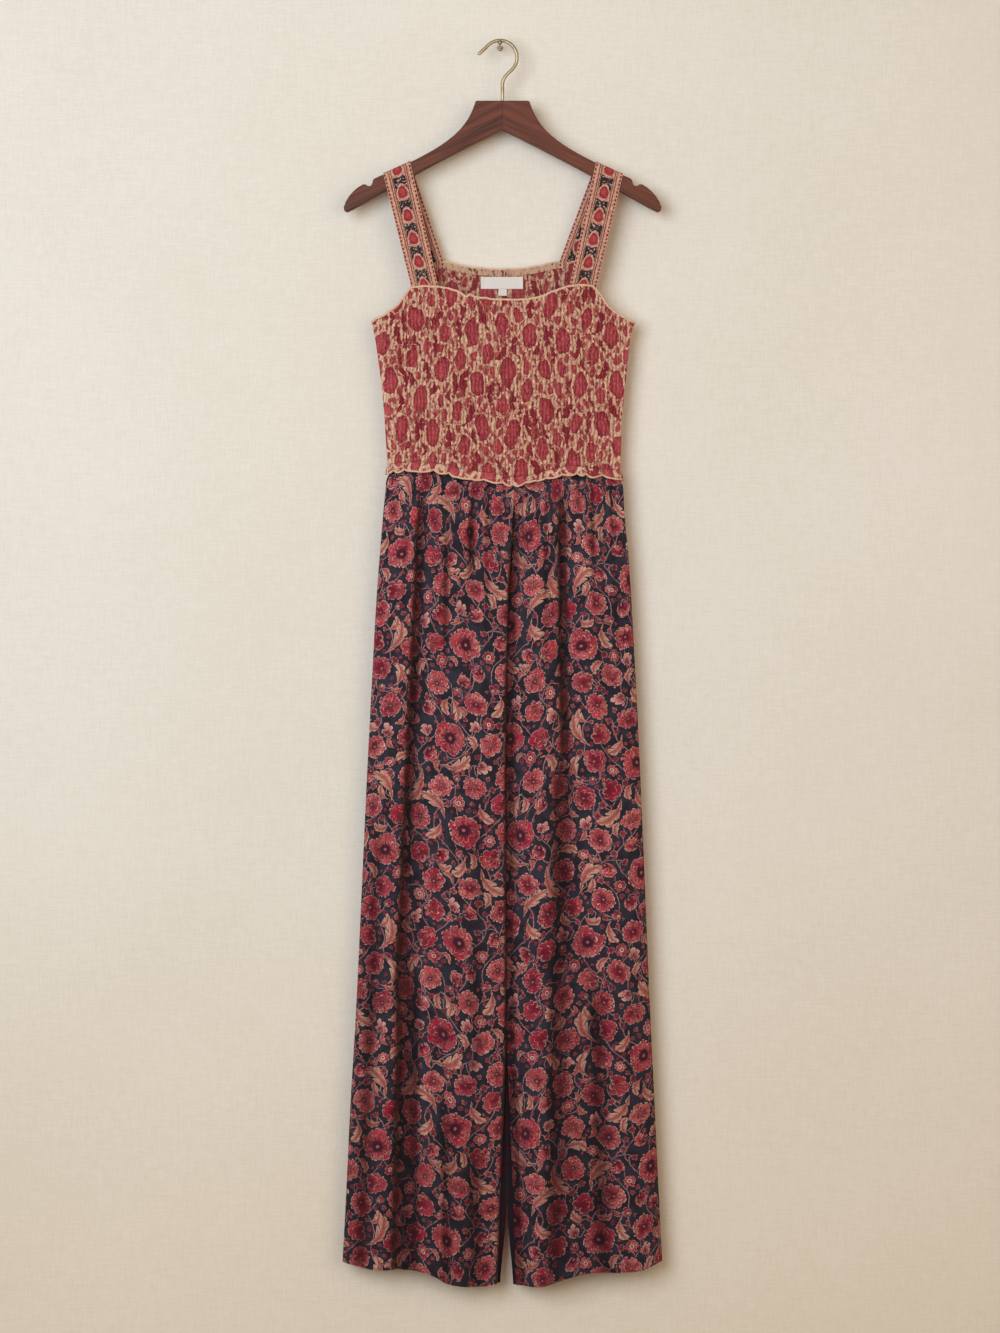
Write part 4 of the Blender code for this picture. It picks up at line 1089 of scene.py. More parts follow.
# cloth_at is -1..1 across and millimetres along.
STRAP_STEPS = (
    ("over", "x", "cloth_at"),
    ("cloth_u", "*", "over", STRAP_WIDTH / 2),
    ("cloth_v", "y", "cloth_at"),
    # printed by hand: every edge wavers by half a millimetre
    ("waver", "noise", "place", 260.0, 2.0, 0.6),
    ("wavering", "*+", "waver", 0.12, -0.06),
    ("off_plain", "size", "over"),
    ("off", "+", "off_plain", "wavering"),
    ("off_mm", "*", "off", STRAP_WIDTH / 2),
    ("repeats", "*", "cloth_v", 1 / STRAP_REPEAT),
    ("repeat", "part", "repeats"),
    ("from_mid", "-", "repeat", 0.5),
    ("y_share", "size", "from_mid"),
    ("y_mm", "*", "y_share", STRAP_REPEAT),
    # the oval is narrower at its upper end: (x * (1 + 1.2 y) / 5.8, y / 8.4) has length 1
    ("egg", "*+", "from_mid", 1.2, 1.0),
    ("egg_x", "*", "off_mm", "egg"),
    ("oval_x", "*", "egg_x", 1 / 5.8),
    ("oval_y", "*", "y_mm", 1 / 8.4),
    ("oval_xy", "vector", "oval_x", "oval_y", 0.0),
    ("oval_r", "length", "oval_xy"),
    ("oval_turn", "angle", "oval_y", "oval_x"),
    ("scallops", "*", "oval_turn", 10.0),
    ("scallop", "cosine", "scallops"),
    ("oval_s", "*+", "scallop", 0.05, "oval_r"),
    ("oval", "ease", "oval_r", 1.02, 0.92, 0.0, 1.0),
    ("oval_ring", "ease", "oval_s", 1.4, 1.28, 0.0, 1.0),
    ("oval_middle", "ease", "oval_r", 0.75, 0.2, 0.0, 0.55),
    # between two ovals lies a dark bow, with a pale cross worn to specks
    ("bow_y", "*+", "y_mm", -1.0, STRAP_REPEAT / 2),
    ("bow_slant", "*+", "off_mm", -0.7, "bow_y"),
    ("bow_far", "size", "bow_slant"),
    ("bow_line", "ease", "bow_far", 1.3, 0.2, 0.0, 1.0),
    ("blotch", "noise", "place", 430.0, 1.0, 0.5),
    ("worn", "ease", "blotch", 0.49, 0.6, 0.0, 0.9),
    ("bow_worn", "*", "bow_line", "worn"),
    ("bow_specks", "ease", "blotch", 0.61, 0.67, 0.0, 0.8),
    ("band", "ease", "off", 0.46, 0.43, 0.0, 1.0),
    ("line_one_off", "-", "off", 0.50),
    ("line_one_far", "size", "line_one_off"),
    ("line_one", "ease", "line_one_far", 0.045, 0.015, 0.0, 1.0),
    ("line_two_off", "-", "off", 0.64),
    ("line_two_far", "size", "line_two_off"),
    ("line_two", "ease", "line_two_far", 0.05, 0.02, 0.0, 1.0),
    ("selvedge", "ease", "off", 0.83, 0.87, 0.0, 1.0),
    ("hem_edge", "ease", "off_plain", 0.95, 0.975, 0.0, 0.8),
    ("dash_turn", "*+", "cloth_v", TURN / 5.4, "over"),
    ("dash_at", "*+", "waver", 5.0, "dash_turn"),
    ("dash_wave", "wave", "dash_at"),
    ("dash", "ease", "dash_wave", 0.1, 0.7, 0.0, 0.9),
    ("speckle", "noise", "place", 620.0, 1.0, 0.5),
    ("uneven", "ease", "blotch", 0.46, 0.6, 0.0, 0.5),
    ("stripe", "blend", "uneven", "pink_tan", "pale_red"),
    ("with_one", "blend", "line_one", "stripe", "dark"),
    ("with_two", "blend", "line_two", "with_one", "dark"),
    ("edge_ink", "blend", "dash", "dark_red", "pink_tan"),
    ("with_edge", "blend", "selvedge", "with_two", "edge_ink"),
    ("hemmed", "blend", "hem_edge", "with_edge", "pink_tan"),
    ("bow_cross", "blend", "bow_worn", "navy", "pink_tan"),
    ("bow", "blend", "bow_specks", "bow_cross", "pale"),
    ("ring_ink", "blend", "uneven", "pink_tan", "red"),
    ("ringed", "blend", "oval_ring", "bow", "ring_ink"),
    ("oval_red", "blend", "uneven", "red", "dark_red"),
    ("oval_lit", "blend", "oval_middle", "oval_red", "lit_red"),
    ("oval_in_ring", "blend", "oval", "ringed", "oval_lit"),
    ("printed", "blend", "band", "hemmed", "oval_in_ring"),
    ("yarns", "ease", "speckle", 0.36, 0.64, 0.76, 1.16),
    ("colour", "dim", 1.0, "printed", "yarns"),
)


def strap_cloth(inks):
    """Printed cotton border cut as a strap: a dark band of red ovals between pinkish
    stripes, with dashed edges; matte, its weave just visible."""
    made, tree, shader, known = new_material("border print cotton", ("cloth_at",),
                                             Roughness=0.9, Specular_IOR_Level=0.2,
                                             Sheen_Weight=0.08)
    known.update(colours_of(inks))
    work_out(tree, STRAP_STEPS + WEAVE_STEPS, known)
    finish_material(tree, shader, known, Base_Color="colour", Normal="bumped")
    return made


def edge_thread(colour):
    """Overlocked cotton thread round a rolled edge: slanting wraps 1.5 mm apart, with
    painted shade in the grooves between them and a faint painted highlight on their crests.
    """
    made, tree, shader, known = new_material("overlocked edge thread", ("thread_at",),
                                             Roughness=0.85, Specular_IOR_Level=0.2)
    known["tan"], known["deep"] = (*colour, 1.0), (*(np.array(colour) * 0.55), 1.0)
    work_out(tree, (
        ("along", "x", "thread_at"),
        ("turned", "y", "thread_at"),
        ("wrap_at", "*+", "along", TURN / 1.5, "turned"),
        ("wrap", "wave", "wrap_at"),
        ("uneven", "noise", "place", 240.0, 2.0, 0.6),
        ("worn", "ease", "uneven", 0.5, 0.7, 0.0, 0.5),
        ("mixed", "blend", "worn", "tan", "deep"),
        # painted shade in the grooves between the wraps, a faint painted highlight on them
        ("painted_wrap_shade", "ease", "wrap", -1.0, 0.2, 0.72, 1.05),
        ("colour", "dim", 1.0, "mixed", "painted_wrap_shade"),
        ("bumped", "bump", 0.5, 0.0002, "wrap"),
    ), known)
    finish_material(tree, shader, known, Base_Color="colour", Normal="bumped")
    return made


def walnut(wood):
    """Walnut, stained and waxed, two boards mitred at the centre: the grain runs along each
    arm, so it mirrors at the joint, and the board on the left takes the light better. Wax
    leaves a soft sheen; faces that look upwards, along the top edges, are darkened as
    painted shade."""
    made, tree, shader, known = new_material("waxed walnut", (), Roughness=0.48,
                                             Specular_IOR_Level=0.2)
    known.update(colours_of(wood))
    known["normal"] = add(tree, "NewGeometry", {}).outputs["Normal"]
    slope = float(np.arctan(ARM_SLOPE))
    work_out(tree, (
        ("x_all", "x", "place"),
        ("y_all", "y", "place"),
        ("z_all", "z", "place"),
        ("x_off", "-", "x_all", HANGER_CENTRE * MM),
        ("out", "size", "x_off"),
        ("mirrored", "vector", "out", "y_all", "z_all"),
        ("turned", "mapped", "mirrored", (0, slope, 0), (1, 1, 1)),
        ("stretched", "mapped", "turned", (0, 0, 0), (9, 60, 260)),
        ("lines", "mapped", "turned", (0, 0, 0), (24, 300, 1000)),
        ("grain", "noise", "stretched", 1.0, 4.0, 0.6),
        ("pores", "noise", "lines", 1.0, 3.0, 0.6),
        ("bands", "ease", "grain", 0.32, 0.7, 0.0, 1.0),
        ("boards", "blend", "bands", "dark", "light"),
        ("left_board", "above", "x_off", 0.0),
        ("lift", "*", "left_board", 0.35),
        ("boards_apart", "blend", "lift", "boards", "light"),
        ("seam_far", "size", "x_off"),
        ("seam", "ease", "seam_far", 0.0009, 0.0003, 0.0, 0.7),
        ("seamed", "blend", "seam", "boards_apart", "dark"),
        ("pore_shade", "ease", "pores", 0.5, 0.66, 1.0, 0.6),
        ("pored", "dim", 1.0, "seamed", "pore_shade"),
        # painted shade: faces that look upwards are darkened
        ("up", "z", "normal"),
        ("top", "ease", "up", 0.3, 0.8, 1.0, 0.5),
        ("colour", "dim", 1.0, "pored", "top"),
        ("rough", "ease", "grain", 0.3, 0.7, 0.42, 0.56),
        ("bumped", "bump", 0.25, 0.0002, "pores"),
    ), known)
    finish_material(tree, shader, known, Base_Color="colour", Roughness="rough",
                    Normal="bumped")
    return made


def aged_brass(metal):
    """Drawn brass wire, aged: warm and dull, darker where it is rarely rubbed."""
    made, tree, shader, known = new_material("aged brass", (), Metallic=1.0)
    known.update(colours_of(metal))
    work_out(tree, (
        ("patina", "noise", "place", 55.0, 4.0, 0.6),
        ("patches", "ease", "patina", 0.4, 0.65, 0.0, 0.8),
        ("colour", "blend", "patches", "bright", "dull"),
        ("rough", "ease", "patina", 0.35, 0.7, 0.38, 0.52),
        ("drawn", "mapped", "place", (0, 0, 0), (900, 900, 60)),
        ("scratch", "noise", "drawn", 1.0, 2.0, 0.5),
        ("bumped", "bump", 0.15, 0.0001, "scratch"),
    ), known)
    finish_material(tree, shader, known, Base_Color="colour", Roughness="rough",
                    Normal="bumped")
    return made


def satin(colour):
    """Woven polyester satin: long floats along the tab give a soft sheen in one direction
    and fine ribs 0.5 mm apart, whose troughs are a little darker as painted shade."""
    made, tree, shader, known = new_material("white label satin", ("cloth_at",),
                                             Roughness=0.5, Sheen_Weight=0.3)
    known["white"] = (*colour, 1.0)
    work_out(tree, (
        ("cloth_v", "y", "cloth_at"),
        ("rib_at", "*", "cloth_v", TURN / 0.5),
        ("rib", "wave", "rib_at"),
        ("speck", "noise", "place", 1200.0, 2.0, 0.5),
        # painted shade: the ribs' troughs are a little darker
        ("rows", "ease", "rib", -1.0, 1.0, 0.93, 1.0),
        ("specks", "ease", "speck", 0.3, 0.7, 0.95, 1.0),
        ("ribbed", "dim", 1.0, "white", "rows"),
        ("colour", "dim", 1.0, "ribbed", "specks"),
        ("bumped", "bump", 0.2, 0.0001, "rib"),
    ), known)
    finish_material(tree, shader, known, Base_Color="colour", Normal="bumped")
    return made


# ---------------------------------------------------------------- cloth surfaces

def sides_at(z):
    """Where the bodice's right and left side seams run at a height."""
    return follow(BODICE_SIDES, z, 1), follow(BODICE_SIDES, z, 2)


def bodice_inside(x, z, panel):
    """The panel's inner face from the middle plane: half a gap and a lens across."""
    right, left = sides_at(z)
    share = np.clip((x - right) / (left - right), 0.0, 1.0)
    return HALF_GAP + panel.depth * lens(share, *BODICE_SECTION)


def frill_hem(x):
    return follow(FRILL_HEM, x)


def bodice_grid(panel, rows, cols):
    """x and z: straight columns from the top edge down to the last gathered row."""
    shares = np.linspace(0, 1, cols + 1)
    fall = np.linspace(0, 1, rows + 1)[:, None]
    first, last = panel.top[0][0], panel.top[-1][0]
    top = follow(panel.top, first + (last - first) * shares)
    right, left = sides_at(WAIST_Z)
    bottom = frill_hem(right + (left - right) * shares) + FRILL_DROP
    z = top + (bottom - top) * fall
    right, left = sides_at(z)
    return right + (left - right) * shares, z, shares, fall


def smocking(x, z, fall, settings, seed):
    """Height 0..1 of the gathered cloth, and how far each point's cloth is drawn sideways.

    Puckers are a cosine across, its phase wandering with height; between two rows of
    elastic the cloth puffs out as the root of a half sine.
    """
    width = settings.pucker_width / MM
    phase = (TURN * x / width + 2.4 * soft_noise(x, z / 2.5, 15.0, seed)
             + 1.5 * soft_noise(x, z, 6.0, seed + 1)
             + 1.4 * soft_noise(x, RIB_ROWS * 9.0 * fall, 9.0, seed + 3))
    puff = np.abs(np.sin(np.pi * RIB_ROWS * fall)) ** 0.55
    bold = 1 + 0.3 * soft_noise(x, z, 7.0, seed + 2)
    height = (0.42 + 0.58 * puff) * (0.5 + 0.5 * np.cos(phase)) ** 0.8 * bold
    return np.clip(height, 0, 1), -width / TURN * np.sin(phase)


def bodice_surface(panel, settings, seed):
    """Outer and inner grids of a smocked panel, and the outer points' place on the cloth."""
    rows, cols = panel.smocked
    x, z, shares, fall = bodice_grid(panel, rows, cols)
    height, drawn = smocking(x, z, fall, settings, seed)
    ends = 1 - np.abs(2 * shares - 1) ** 30
    away = bodice_inside(x, z, panel) + 0.8 + settings.pucker_height / MM * height * ends
    outside = np.stack([x, panel.facing * away, z], axis=-1)
    right, left = sides_at(z)
    across = settings.gather * (x - (right + left) / 2 + 0.62 * drawn)
    # the pucker height is also the relief value that the print is darkened by, as painted shade in
    # the valleys
    on_cloth = np.stack([across, 1.05 * z, height * ends + (1 - ends)], axis=-1)
    step = panel.bare
    x, z = x[::step, ::step], z[::step, ::step]
    inside = np.stack([x, panel.facing * bodice_inside(x, z, panel), z], axis=-1)
    return outside, inside, on_cloth


def frill_surface(panel, settings, seed, cols=340, rows=16):
    """The bodice's free edge: it flares out below the last row in waves that differ."""
    shares = np.linspace(0, 1, cols + 1)
    fall = np.linspace(0, 1, rows + 1)[:, None]
    right, left = sides_at(WAIST_Z)
    plain = right + (left - right) * shares
    x = plain + 2.4 * fall * (2 * shares - 1)
    wander = soft_noise(plain, 0.0, 30.0, seed)
    # rounded lobes hang between short creases
    lobes = np.abs(np.cos(np.pi * 12 * shares + 2.2 * wander)) ** 0.8
    wave = (2 * lobes - 1) * (1 + 0.35 * wander) + 0.3 * soft_noise(plain, fall * 6, 6.0, seed + 1)
    z = frill_hem(plain) + FRILL_DROP - 0.5 - (FRILL_DROP - 0.5 + 1.9 * wave) * fall
    ends = 1 - np.abs(2 * shares - 1) ** 40
    flare = (6.6 * fall + 2.4 * wave * fall) * ends
    inner = HALF_GAP + panel.depth * lens(shares, *BODICE_SECTION) + flare
    outside = np.stack([x, panel.facing * (inner + 1.0), z], axis=-1)
    inside = np.stack([x, panel.facing * (inner + 0.2), z], axis=-1)
    across = settings.gather * (plain - (right + left) / 2)
    down = np.broadcast_to(1.05 * z, across.shape if across.ndim == 2 else z.shape)
    # painted shade: the relief value is low between the lobes, where the print is darkened
    on_cloth = np.stack(np.broadcast_arrays(across, down, 0.65 + 0.35 * wave), axis=-1)
    return outside, inside[::2, ::2], on_cloth


def down_share(z):
    """0 at the waist, 1 at the hem."""
    return np.clip((z - WAIST_Z) / (HEM_Z - WAIST_Z), 0.0, 1.0)


def lowest_near(away, step):
    """Least of each point and its neighbours across, a coarse cell to either side."""
    padded = np.pad(away, ((0, 0), (step, step)), mode="edge")
    return np.lib.stride_tricks.sliding_window_view(padded, 2 * step + 1, axis=1).min(axis=-1)


def fold_depth(x, z, folds):
    """Sum of the folds: bell-shaped across, fading in and out along the leg."""
    total = np.zeros_like(x)
    down = down_share(z)
    for x_waist, x_hem, wide_minus, wide_plus, depth, z_start, z_end in folds:
        offset = x - (x_waist + (x_hem - x_waist) * down)
        width = np.where(offset < 0, wide_minus, wide_plus) * (1 + FOLD_WIDENING * down)
        fade = (smoothstep(z_start, z_start - FOLD_FADE_IN, z)
                * smoothstep(z_end, z_end + FOLD_FADE_OUT, z))
        total += depth * np.exp(-(offset / width) ** 2) * fade
    return total


def trouser_surface(side, panel, settings, step=4):
    """Outer and inner grids of a trouser panel, and the outer points' place on the cloth.

    Share 0 is the centre seam or inseam and 1 the side seam. At the waist the panel
    lies inside the bodice's edge; below it settles into a leg that is a lens across, with
    the folds and the waist's gathers laid over that.
    """
    shares = np.linspace(0, 1, panel.cols + 1)
    down = np.linspace(0, 1, panel.rows + 1)[:, None]
    hem_table = LEFT_HEM if side > 0 else RIGHT_HEM
    hem = follow(hem_table, shares)

    def across(z):
        parted = 1.0 if panel is FRONT else 0.04 + 0.7 * smoothstep(-1500.0, -1625.0, z)
        inner = follow(CENTRE_LINE, z, 1) + side * follow(CENTRE_LINE, z, 2) * parted / 2
        return inner + (follow(TROUSER_SIDES, z, 2 if side > 0 else 1) - inner) * shares

    waist = frill_hem(across(TROUSER_SIDES[-1][0])) + FRILL_DROP + 4.0
    free = waist - 6.0
    tucked = waist + (free - waist) * np.linspace(0, 1, 5)[:-1, None]
    z = np.vstack([tucked, free + (hem - free) * down])
    x = across(z)
    below = np.maximum(free - z, 0.0)

    at_waist = bodice_inside(x, z, panel) - SEAM_GAP - TROUSER_WALL
    inner_edge = HALF_GAP + 6.0 * smoothstep(CROTCH_Z, WAIST_Z, z)
    edge = inner_edge * (1 - shares) + HALF_GAP * shares
    full = panel.bulge[0] + (panel.bulge[1] - panel.bulge[0]) * (free - z) / (free - hem)
    leg = edge + full * lens(shares, *LEG_SECTION)
    formed = smoothstep(0.0, SETTLE_LENGTH, below)
    away = at_waist * (1 - formed) + leg * formed
    free_of_edges = 1 - np.abs(2 * shares - 1) ** 8
    creases = settings.fold_depth * fold_depth(x, z, panel.creases)
    folds = settings.fold_depth * fold_depth(x, z, panel.folds) + creases
    folds += 0.7 * soft_noise(x, z / 2, 34.0, 5 + panel.facing) * smoothstep(20, 160, below)
    away += folds * free_of_edges * smoothstep(4.0, 50.0, below)
    gather = (0.8 * np.cos(TURN * GATHERS * shares + side + soft_noise(x, z * 0.2, 20.0, 33))
              + 0.6 * np.cos(TURN * 17 * shares + 2.0) + 0.9 * soft_noise(x, z * 0.1, 6.0, 31))
    gather *= np.exp(-below / 55.0) * smoothstep(2.0, 26.0, below)
    away += 3.2 * gather * free_of_edges
    above_hem = z - hem
    turned_up = 0.3 * smoothstep(8.0, 6.5, above_hem) - 0.25 * np.exp(-(above_hem - 7.5) ** 2)
    # at the inseam the right leg ends in a lip; the left leg rolls in beside and under it, and
    # shaded is painted shade along the seam, taken off the relief value below
    from_seam = np.abs(x - x[:, :1])
    settled = smoothstep(10, 110, below)
    if side < 0:
        away += 5.0 * smoothstep(0.0, 2.5, from_seam) * np.exp(-(from_seam / 13.0) ** 2) * settled
        shaded = 0.9 * np.exp(-(from_seam / 1.6) ** 2) * settled
    else:
        rolled = np.exp(-(from_seam / (17.0 - 4.0 * down_share(z))) ** 2) * settled
        away *= 1 - 0.85 * rolled
        shaded = 1.1 * np.exp(-(from_seam / (11.0 - 3.0 * down_share(z))) ** 2) * settled
    away = HALF_GAP + (away + np.sqrt(away ** 2 + 3.0)) / 2
    outside = np.stack([x, panel.facing * (away + TROUSER_WALL + turned_up), z], axis=-1)
    inside = np.stack([x, panel.facing * (lowest_near(away, step) + 0.4), z],
                      axis=-1)[::step, ::step]
    run = lengths(outside, 1)
    gathered = 1 + 0.25 * smoothstep(200.0, 0.0, below)
    over = (run - run[:, run.shape[1] // 2][:, None]) * gathered
    fallen = np.broadcast_to(-lengths(outside, 0).mean(axis=1)[:, None], over.shape)
    # painted shade: the relief value that the print is darkened by falls towards the hem, so the
    # lower legs are printed darker, and it falls in folds, creases, gathers and along the inseam
    dusk = 0.27 * smoothstep(WAIST_Z, HEM_Z, z)
    relief = np.clip(0.75 - dusk + 0.03 * folds + 0.075 * creases + 0.2 * gather - shaded, 0, 1)
    return outside, inside, np.stack([over, fallen, relief], axis=-1)


def arm_top(out):
    return ARM_START[1] + ARM_SLOPE * (out - ARM_START[0])


def strap_surface(x_arm, x_front, z_front, x_back, z_back, cols=12, rows=56):
    """A strap's outer and inner grids: straight runs of a 35 mm strip from both necklines,
    and quarter turns over the two edges of the hanger's arm."""
    over = (np.linspace(0, 1, cols + 1) - 0.5) * STRAP_WIDTH
    half = HANGER_THICKNESS / 2 + SEAM_GAP
    share = np.linspace(0, 1, rows + 1)[1:, None]
    top = arm_top(np.abs(x_arm + over - HANGER_CENTRE))
    sides = []
    for x_end, z_end, panel in ((x_front, z_front, FRONT), (x_back, z_back, BACK)):
        sewn = bodice_inside(x_end + over, z_end, panel) - SEAM_GAP - STRAP_WALL
        x = x_arm + (x_end - x_arm) * share + over
        z = top + (z_end - top) * share
        y = half + (sewn - half) * smoothstep(STRAP_LEAVES_ARM, 1.0, share)
        run = np.stack([x, panel.facing * y, z], axis=-1)
        foot = run[-1:] - [0.0, 0.0, STRAP_SEWN_DEPTH]
        sides.append(np.concatenate([run, (run[-1:] + foot) / 2, foot]))
    arcs, normals = [], []
    for side, start in ((-1, 180), (1, 90)):
        for turn in np.radians(np.arange(start, start - 91, -15)):
            y = side * (half - STRAP_TOP_ROUND) + STRAP_TOP_ROUND * np.cos(turn) + 0 * over
            z = top + SEAM_GAP - STRAP_TOP_ROUND * (1 - np.sin(turn))
            arcs.append(np.stack([x_arm + over, y, z], axis=-1))
            normals.append((0.0, np.cos(turn), np.sin(turn)))
    near = np.concatenate([sides[0][::-1], arcs, sides[1]])
    away = np.array([(0, -1, 0)] * len(sides[0]) + normals + [(0, 1, 0)] * len(sides[1]))
    # the two edges of the strip curl out by a hair
    curl = 0.15 + 0.25 * np.abs(over / over[-1])[None, :, None] ** 4
    inside = near + curl * away[:, None]
    outside = inside + 1.2 * away[:, None]
    along = lengths(outside, 0)[:, cols // 2]
    along = along - along[len(sides[0])] + 15.0
    places = np.broadcast_arrays(2 * over / STRAP_WIDTH, along[:, None], 1.0)
    return outside, inside, np.stack(places, axis=-1)


def neck_path(panel, count, seed):
    """The rolled edge along a panel's top: its curled line sways out and in, more at the
    two underarm corners, and the front's has one short tuck."""
    x, z, shares, _ = bodice_grid(panel, 1, count)
    x, z = x[0], z[0]
    corner = np.exp(-(shares / 0.07) ** 2) + np.exp(-((1 - shares) / 0.07) ** 2)
    sway = soft_noise(x, 0.0, 5.0, seed) * (0.7 + 1.4 * corner)
    lift = soft_noise(x, 9.0, 6.0, seed + 1) * (0.8 + 1.0 * corner)
    if panel is FRONT:
        from_tuck = (x - TUCK_AT) / 4.2
        lift += 4.5 * from_tuck * np.exp(-from_tuck ** 2)
        sway += 1.6 * np.exp(-from_tuck ** 2)
    out = bodice_inside(x, z, panel) + 1.0 + sway
    return np.stack([x, panel.facing * np.maximum(out, 1.3), z + 0.3 + lift], axis=-1)


def hook_path():
    """Shank, a soft S into the bend, the round bend and a straight tip, in x and z."""
    centre = np.array((0.0, WIRE_RADIUS - HOOK_BEND_RADIUS))
    turn = np.radians(np.linspace(HOOK_BEND_START, HOOK_BEND_END, 74))
    bend = centre + HOOK_BEND_RADIUS * np.stack([np.cos(turn), np.sin(turn)], axis=-1)
    neck = np.array((HANGER_CENTRE, HOOK_NECK_TOP))
    into_bend = np.array((-np.sin(turn[0]), np.cos(turn[0])))
    t = np.linspace(0, 1, 19)[:-1, None]
    soft = ((1 - t) ** 3 * neck + 3 * t * (1 - t) ** 2 * (neck + (0.0, HOOK_NECK_PULL))
            + 3 * t ** 2 * (1 - t) * (bend[0] - HOOK_BEND_PULL * into_bend) + t ** 3 * bend[0])
    foot = BLOCK_TOP - HOOK_DEPTH_IN_WOOD
    shank = np.stack([np.full(6, HANGER_CENTRE), np.linspace(foot, HOOK_NECK_TOP - 2.0, 6)],
                     axis=-1)
    leave = np.array((-np.sin(turn[-1]), np.cos(turn[-1])))
    tip = bend[-1] + leave * np.linspace(0, HOOK_TIP_LENGTH, 14)[1:, None]
    path = np.vstack([shank, soft, bend, tip])
    return np.insert(path, 1, 0.0, axis=1)


# ---------------------------------------------------------------- settings

def ink(name, description, code):
    return FloatVectorProperty(name=name, description=description, default=linear(code),
                               size=3, min=0.0, max=1.0, subtype="COLOR")


class TrouserInks(bpy.types.PropertyGroup):
    ground: ink("Ground", "Dark blue ground", "#302D38")
    ground_dark: ink("Ground, deep", "Where the ground dye took more", "#231F28")
    bloom_red: ink("Petals", "Outer part of the petals", "#A8203A")
    bloom_warm: ink("Petals, warm", "Where the red has more orange", "#B02E3C")
    bloom_deep: ink("Petals, deep", "Towards the hearts of the flowers", "#661526")
    petal_tip: ink("Petal tips", "Tips and outlines of the petals", "#ECBCAE")
    parting_ink: ink("Partings", "Fine lines between petals", "#D8847E")
    heart_ink: ink("Hearts", "Disc at the middle of a flower", "#3E1826")
    dusk_ink: ink("Dark motifs", "Small motifs in dark mauve", "#5A2434")
    halo_ink: ink("Halos", "Ground kept clear round a flower", "#27252F")
    leaf_ink: ink("Leaves", "Pale leaves", "#C49A86")
    leaf_base: ink("Leaf ribs", "Base, ribs and middle of the leaves", "#92383A")
    leaf_rim: ink("Leaf rims", "Outline of the leaves", "#DEBCA6")
    stem_ink: ink("Stems", "Thin stems", "#AC7E80")
    reverse: ink("Reverse", "Wrong side of the cloth", "#3A3444")


class BodiceInks(bpy.types.PropertyGroup):
    ground: ink("Ground", "Tan ground", "#D4AE92")
    ground_dark: ink("Ground, deep", "Small red-brown marks on the ground", "#A4504E")
    bloom_red: ink("Motifs", "Outer part of the motifs", "#882234")
    bloom_warm: ink("Motifs, warm", "Where the red has more orange", "#902E38")
    bloom_deep: ink("Motifs, middle", "Towards the middle of the motifs", "#B85458")
    petal_tip: ink("Outlines", "Outlines of the motifs", "#74222C")
    parting_ink: ink("Partings", "Fine lines in the motifs", "#CC5E66")
    heart_ink: ink("Hearts", "Dot at the middle of a motif", "#6A1A24")
    dusk_ink: ink("Dark marks", "Small brown marks", "#642826")
    halo_ink: ink("Halos", "Pale ring round a large motif", "#D6B096")
    leaf_ink: ink("Leaves", "Red-brown leaves", "#9A3C44")
    leaf_base: ink("Leaf ribs", "Base, ribs and middle of the leaves", "#8C3238")
    leaf_rim: ink("Leaf rims", "Outline of the leaves", "#7A2A2E")
    stem_ink: ink("Stems", "Thin stems", "#9C4E48")
    # darker than the wrong side alone: the cloth's own wrong side with painted shade for the
    # inside of the back
    reverse: ink("Reverse", "Wrong side of the cloth", "#542824")


class StrapInks(bpy.types.PropertyGroup):
    pink_tan: ink("Stripes", "Pinkish tan stripes", "#CC9C84")
    pale_red: ink("Stripes, red", "Specks in the stripes", "#A8625A")
    red: ink("Ovals", "Ovals and dashes", "#983438")
    dark_red: ink("Ovals, deep", "Deep parts of the ovals and dashes", "#6E2428")
    dark: ink("Lines", "Thin brown lines", "#6A3A32")
    navy: ink("Band", "Dark blue centre band", "#2E2628")
    pale: ink("Specks", "Pale specks on the band", "#CDB6B4")
    lit_red: ink("Ovals, middle", "Middle of the ovals", "#BC5250")


class WoodStain(bpy.types.PropertyGroup):
    dark: ink("Dark grain", "Dark bands of the grain", "#4A261C")
    light: ink("Light grain", "Light bands of the grain", "#74412F")


class BrassTones(bpy.types.PropertyGroup):
    bright: ink("Rubbed", "Brass where it is rubbed", "#B6A688")
    dull: ink("Aged", "Brass where it has darkened", "#867860")


class JumpsuitSettings(bpy.types.PropertyGroup):
    pucker_width: FloatProperty(name="Pucker width", description="Across one pucker",
                                default=0.0048, min=0.003, max=0.01, unit="LENGTH")
    pucker_height: FloatProperty(name="Pucker height", description="Relief of the puckers",
                                 default=0.0022, min=0.0, max=0.003, unit="LENGTH")
    gather: FloatProperty(name="Gather", description="Flat width over gathered width",
                          default=1.5, min=1.0, max=2.5, subtype="FACTOR")
    fold_depth: FloatProperty(name="Fold depth", description="Scales the folds of the legs",
                              default=1.0, min=0.0, max=2.0, subtype="FACTOR")
    seed: IntProperty(name="Layout", description="Which scatter of the motifs", default=7)
    edge: ink("Rolled edges", "Thread round the rolled edges", "#E2BE9E")
    satin: ink("Labels", "Woven labels", "#DAD4CC")
    wall: ink("Wall", "Plastered wall", "#E6E1D6")
    trousers: PointerProperty(type=TrouserInks)
    bodice: PointerProperty(type=BodiceInks)
    straps: PointerProperty(type=StrapInks)
    wood: PointerProperty(type=WoodStain)
    brass: PointerProperty(type=BrassTones)


